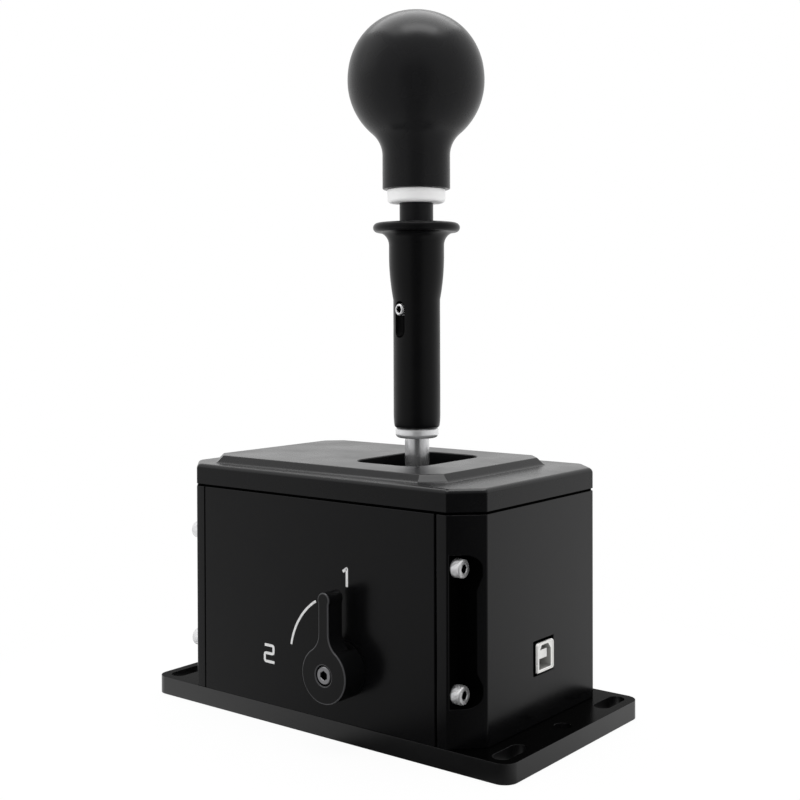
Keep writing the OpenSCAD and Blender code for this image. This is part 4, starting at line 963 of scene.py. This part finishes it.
# %% Finishes by node
finishes = {
    machined_steel: ["bearing_blocks", "yoke", "lever_hub", "detent_sector", "detent_block",
                     "selector_cam", "board_standoffs", "socket_standoffs"],
    ground_steel: ["shift_shafts", "select_pin", "selector_shaft", "lock_plunger"],
    sintered_bronze: ["shift_bushes", "select_bushes", "selector_bush"],
    blackened_steel: ["tie_bolts", "panel_screws", "block_screws", "gate_screws"],
    screw_steel: ["detent_plunger", "board_screws"],
    nickel_plate: ["tilt_magnet"],
    board_green: ["main_board", "socket_board"],
    chip_epoxy: ["board_chips", "pin_header"],
}
for finish, nodes in finishes.items():
    for node in nodes:
        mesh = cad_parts[node].data
        mesh.materials.clear()
        mesh.materials.append(finish)
painted = {node for nodes in finishes.values() for node in nodes}
shown = {node for node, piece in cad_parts.items() if not piece.hide_render}
print("nodes without a finish:", sorted(shown - painted))

# %% [markdown]
# ## A white room that a black box can mirror
# The object stands on a plain white floor in a white room. The background is white because the
# room's own colour is white to the camera, not because more light falls on the object. In a studio
# the far wall is lit and the side behind the camera is dimmer, with a black curtain round the camera
# itself. That keeps the faces that look at the camera deep black and draws the dark line down the
# middle of the rod, while the lid, which mirrors the far wall, turns grey. A picture of a studio
# wrapped round the scene could do this too, but here one vector and a few levels say it all.

# %% What the camera and the reflections see
BEHIND_CAMERA = (0.62, -0.78, 0.0)


def room_wall(tree, direction):
    """Brightness of the room in a direction, from its cosine with BEHIND_CAMERA: it falls evenly from
    white at -0.25 to 0.45 at 0.9, and the curtain darkens it from 0.86 to 0.96, which is from 31 to
    16 degrees off that direction."""
    towards = add_node(tree, "ShaderNodeVectorMath", {0: direction}, {1: BEHIND_CAMERA},
                       operation="DOT_PRODUCT")
    slope = add_node(tree, "ShaderNodeMapRange", {"Value": towards.outputs["Value"]},
                     {"From Min": 0.9, "From Max": -0.25, "To Min": 0.45, "To Max": 1.0})
    curtain = add_node(tree, "ShaderNodeMapRange", {"Value": towards.outputs["Value"]},
                       {"From Min": 0.96, "From Max": 0.86, "To Min": 0.12, "To Max": 1.0})
    both = add_node(tree, "ShaderNodeMath",
                    {0: slope.outputs["Result"], 1: curtain.outputs["Result"]}, operation="MULTIPLY")
    return both.outputs["Value"]


def seen_directly(tree):
    """The light path, and 1 for camera, glossy and transmission rays, which show the room itself."""
    path = add_node(tree, "ShaderNodeLightPath")
    both = add_node(tree, "ShaderNodeMath",
                    {0: path.outputs["Is Camera Ray"], 1: path.outputs["Is Glossy Ray"]},
                    operation="MAXIMUM")
    seen = add_node(tree, "ShaderNodeMath",
                    {0: both.outputs["Value"], 1: path.outputs["Is Transmission Ray"]},
                    operation="MAXIMUM")
    return path, seen.outputs["Value"]


print("the curtain hangs towards", BEHIND_CAMERA)

# %% [markdown]
# ## The floor
# The paper under the object is lit like the rest, so it shades itself where the box stands on it. A
# camera ray sees that shade as one part in twenty near the box and plain white further out. A
# reflection sees the same wall that stands above the floor in that direction.

# %% Floor
FLOOR_REACH, BELOW = 6, 0.0002  # metres
WHITE = (1, 1, 1, 1)
floor_mesh = bpy.data.meshes.new("floor")
floor_mesh.from_pydata([(x * FLOOR_REACH, y * FLOOR_REACH, -BELOW)
                        for x, y in ((-1, -1), (1, -1), (1, 1), (-1, 1))], [], [(0, 1, 2, 3)])
floor = bpy.data.objects.new("floor", floor_mesh)
bpy.context.scene.collection.objects.link(floor)
floor_white, tree, floor_shader = new_material("white paper floor", "#eeeeee", 0.0, 0.9)
path, seen = seen_directly(tree)
place = add_node(tree, "ShaderNodeTexCoord")
way_out = add_node(tree, "ShaderNodeVectorMath", {0: place.outputs["Object"]}, operation="NORMALIZE")
distance = add_node(tree, "ShaderNodeVectorMath", {0: place.outputs["Object"]}, operation="LENGTH")
glow = add_node(tree, "ShaderNodeMapRange", {"Value": distance.outputs["Value"]},
                {"From Min": 0.12, "From Max": 0.2, "To Min": 0.95, "To Max": 1.0})
share = add_node(tree, "ShaderNodeMix",
                 {"Factor": path.outputs["Is Camera Ray"], "A": seen, "B": glow.outputs["Result"]})
wall = room_wall(tree, way_out.outputs["Vector"])
strength = add_node(tree, "ShaderNodeMix",
                    {"Factor": path.outputs["Is Camera Ray"], "A": wall}, {"B": 1.0})
paper_glow = add_node(tree, "ShaderNodeEmission", {"Strength": strength.outputs["Result"]},
                      {"Color": WHITE})
paper = add_node(tree, "ShaderNodeMixShader", {
    0: share.outputs["Result"], 1: floor_shader.outputs["BSDF"], 2: paper_glow.outputs["Emission"]})
tree.links.new(paper.outputs["Shader"], tree.nodes["Material Output"].inputs["Surface"])
floor_mesh.materials.append(floor_white)
print("floor", 2 * FLOOR_REACH, "m wide")

# %% World
ROOM_LIGHT = 0.75
world = bpy.data.worlds.new("white room")
bpy.context.scene.world = world
world.use_nodes = True
sky = world.node_tree
sky.nodes.clear()
path, seen = seen_directly(sky)
direction = add_node(sky, "ShaderNodeTexCoord")
wall = room_wall(sky, direction.outputs["Generated"])
strength = add_node(sky, "ShaderNodeMix",
                    {"Factor": path.outputs["Is Camera Ray"], "A": wall}, {"B": 1.0})
white = add_node(sky, "ShaderNodeBackground", {"Strength": strength.outputs["Result"]},
                 {"Color": WHITE})
room = add_node(sky, "ShaderNodeBackground", values={"Color": WHITE, "Strength": ROOM_LIGHT})
mixed = add_node(sky, "ShaderNodeMixShader", {0: seen, 1: room.outputs[0], 2: white.outputs[0]})
add_node(sky, "ShaderNodeOutputWorld", {"Surface": mixed.outputs["Shader"]})
print("the room gives", ROOM_LIGHT, "of full white as soft light")

# %% [markdown]
# ## Three soft lamps
# A large box overhead gives the lid its even grey, and a weak one from the upper left reaches the
# sides that look away from it. A strip above the near corner, turned by 38 degrees, draws the broad
# highlight on the knob and lights the near facet of the lid. Soft lamps are large, because on a satin
# surface a highlight is as wide as its lamp looks from there.

# %% Lamps
STRIP_DEPTH, STRIP_TURN = 0.2, np.radians(38)


def softbox(name, place, aim, size, watts):
    """A square area light at place that looks at aim, in metres."""
    data = bpy.data.lights.new(name, "AREA")
    data.energy, data.size = watts, size
    lamp = bpy.data.objects.new(name, data)
    lamp.location = place
    away = Vector(place) - Vector(aim)
    lamp.rotation_euler = away.to_track_quat("Z", "Y").to_euler()
    bpy.context.scene.collection.objects.link(lamp)
    print("%-32s %.1f W" % (name, watts))
    return lamp


softbox("overhead", (-0.09, 0.13, 0.85), (0.03, 0, 0.1), size=0.8, watts=5.5)
softbox("from the upper left", (-0.6, -0.5, 0.7), (0, 0, 0.08), size=0.6, watts=0.5)
strip = softbox("strip above the near corner", (0.13, -0.07, 0.85), (0.13, -0.07, 0), size=0.45,
                watts=1.5)
strip.data.shape, strip.data.size_y = "RECTANGLE", STRIP_DEPTH
strip.rotation_euler = (0, 0, STRIP_TURN)

# %% [markdown]
# ## The camera
# Where the camera stood can be worked out from straight edges in a picture: a box of known
# proportions has only one place from which its edges look like that. The focal length and the row
# that lies on the lens's own axis come from the same fit, in pixels of a picture 800 pixels wide.

# %% Camera
IMAGE, FOCAL, MIDDLE_ROW, SENSOR = 800, 1261.02, 326.89, 36
CAMERA_AT, YAW, ROLL, PITCH = (0.32803, -0.41105, 0.16408), 38.087, -0.183, 0.707
camera_data = bpy.data.cameras.new("camera")
camera_data.sensor_width = SENSOR
camera_data.lens = SENSOR * FOCAL / IMAGE
camera_data.shift_y = (MIDDLE_ROW - IMAGE / 2) / IMAGE
camera_data.clip_start, camera_data.clip_end = 0.01, 20
camera = bpy.data.objects.new("camera", camera_data)
bpy.context.scene.collection.objects.link(camera)
bpy.context.scene.camera = camera


def camera_turn(yaw, roll, pitch):
    """Columns right, up and back of a camera that looks along +Y, yawed, pitched down and rolled."""
    yaw, roll, pitch = np.radians([yaw, roll, pitch])
    ahead = np.array([-np.sin(yaw) * np.cos(pitch), np.cos(yaw) * np.cos(pitch), -np.sin(pitch)])
    right = np.array([np.cos(yaw), np.sin(yaw), 0.0])
    up = np.cross(right, ahead)
    return np.stack([np.cos(roll) * right + np.sin(roll) * up,
                     -np.sin(roll) * right + np.cos(roll) * up, -ahead], 1)


turn_of_camera = Matrix(camera_turn(YAW, ROLL, PITCH).tolist()).to_4x4()
camera.matrix_world = Matrix.Translation(CAMERA_AT) @ turn_of_camera
print("lens %.1f mm, camera at" % camera_data.lens, [round(c, 3) for c in camera.location])

# %% [markdown]
# ## The view
# Colours come out as they were written only with the plain Standard view.

bpy.context.scene.view_settings.view_transform = "Standard"
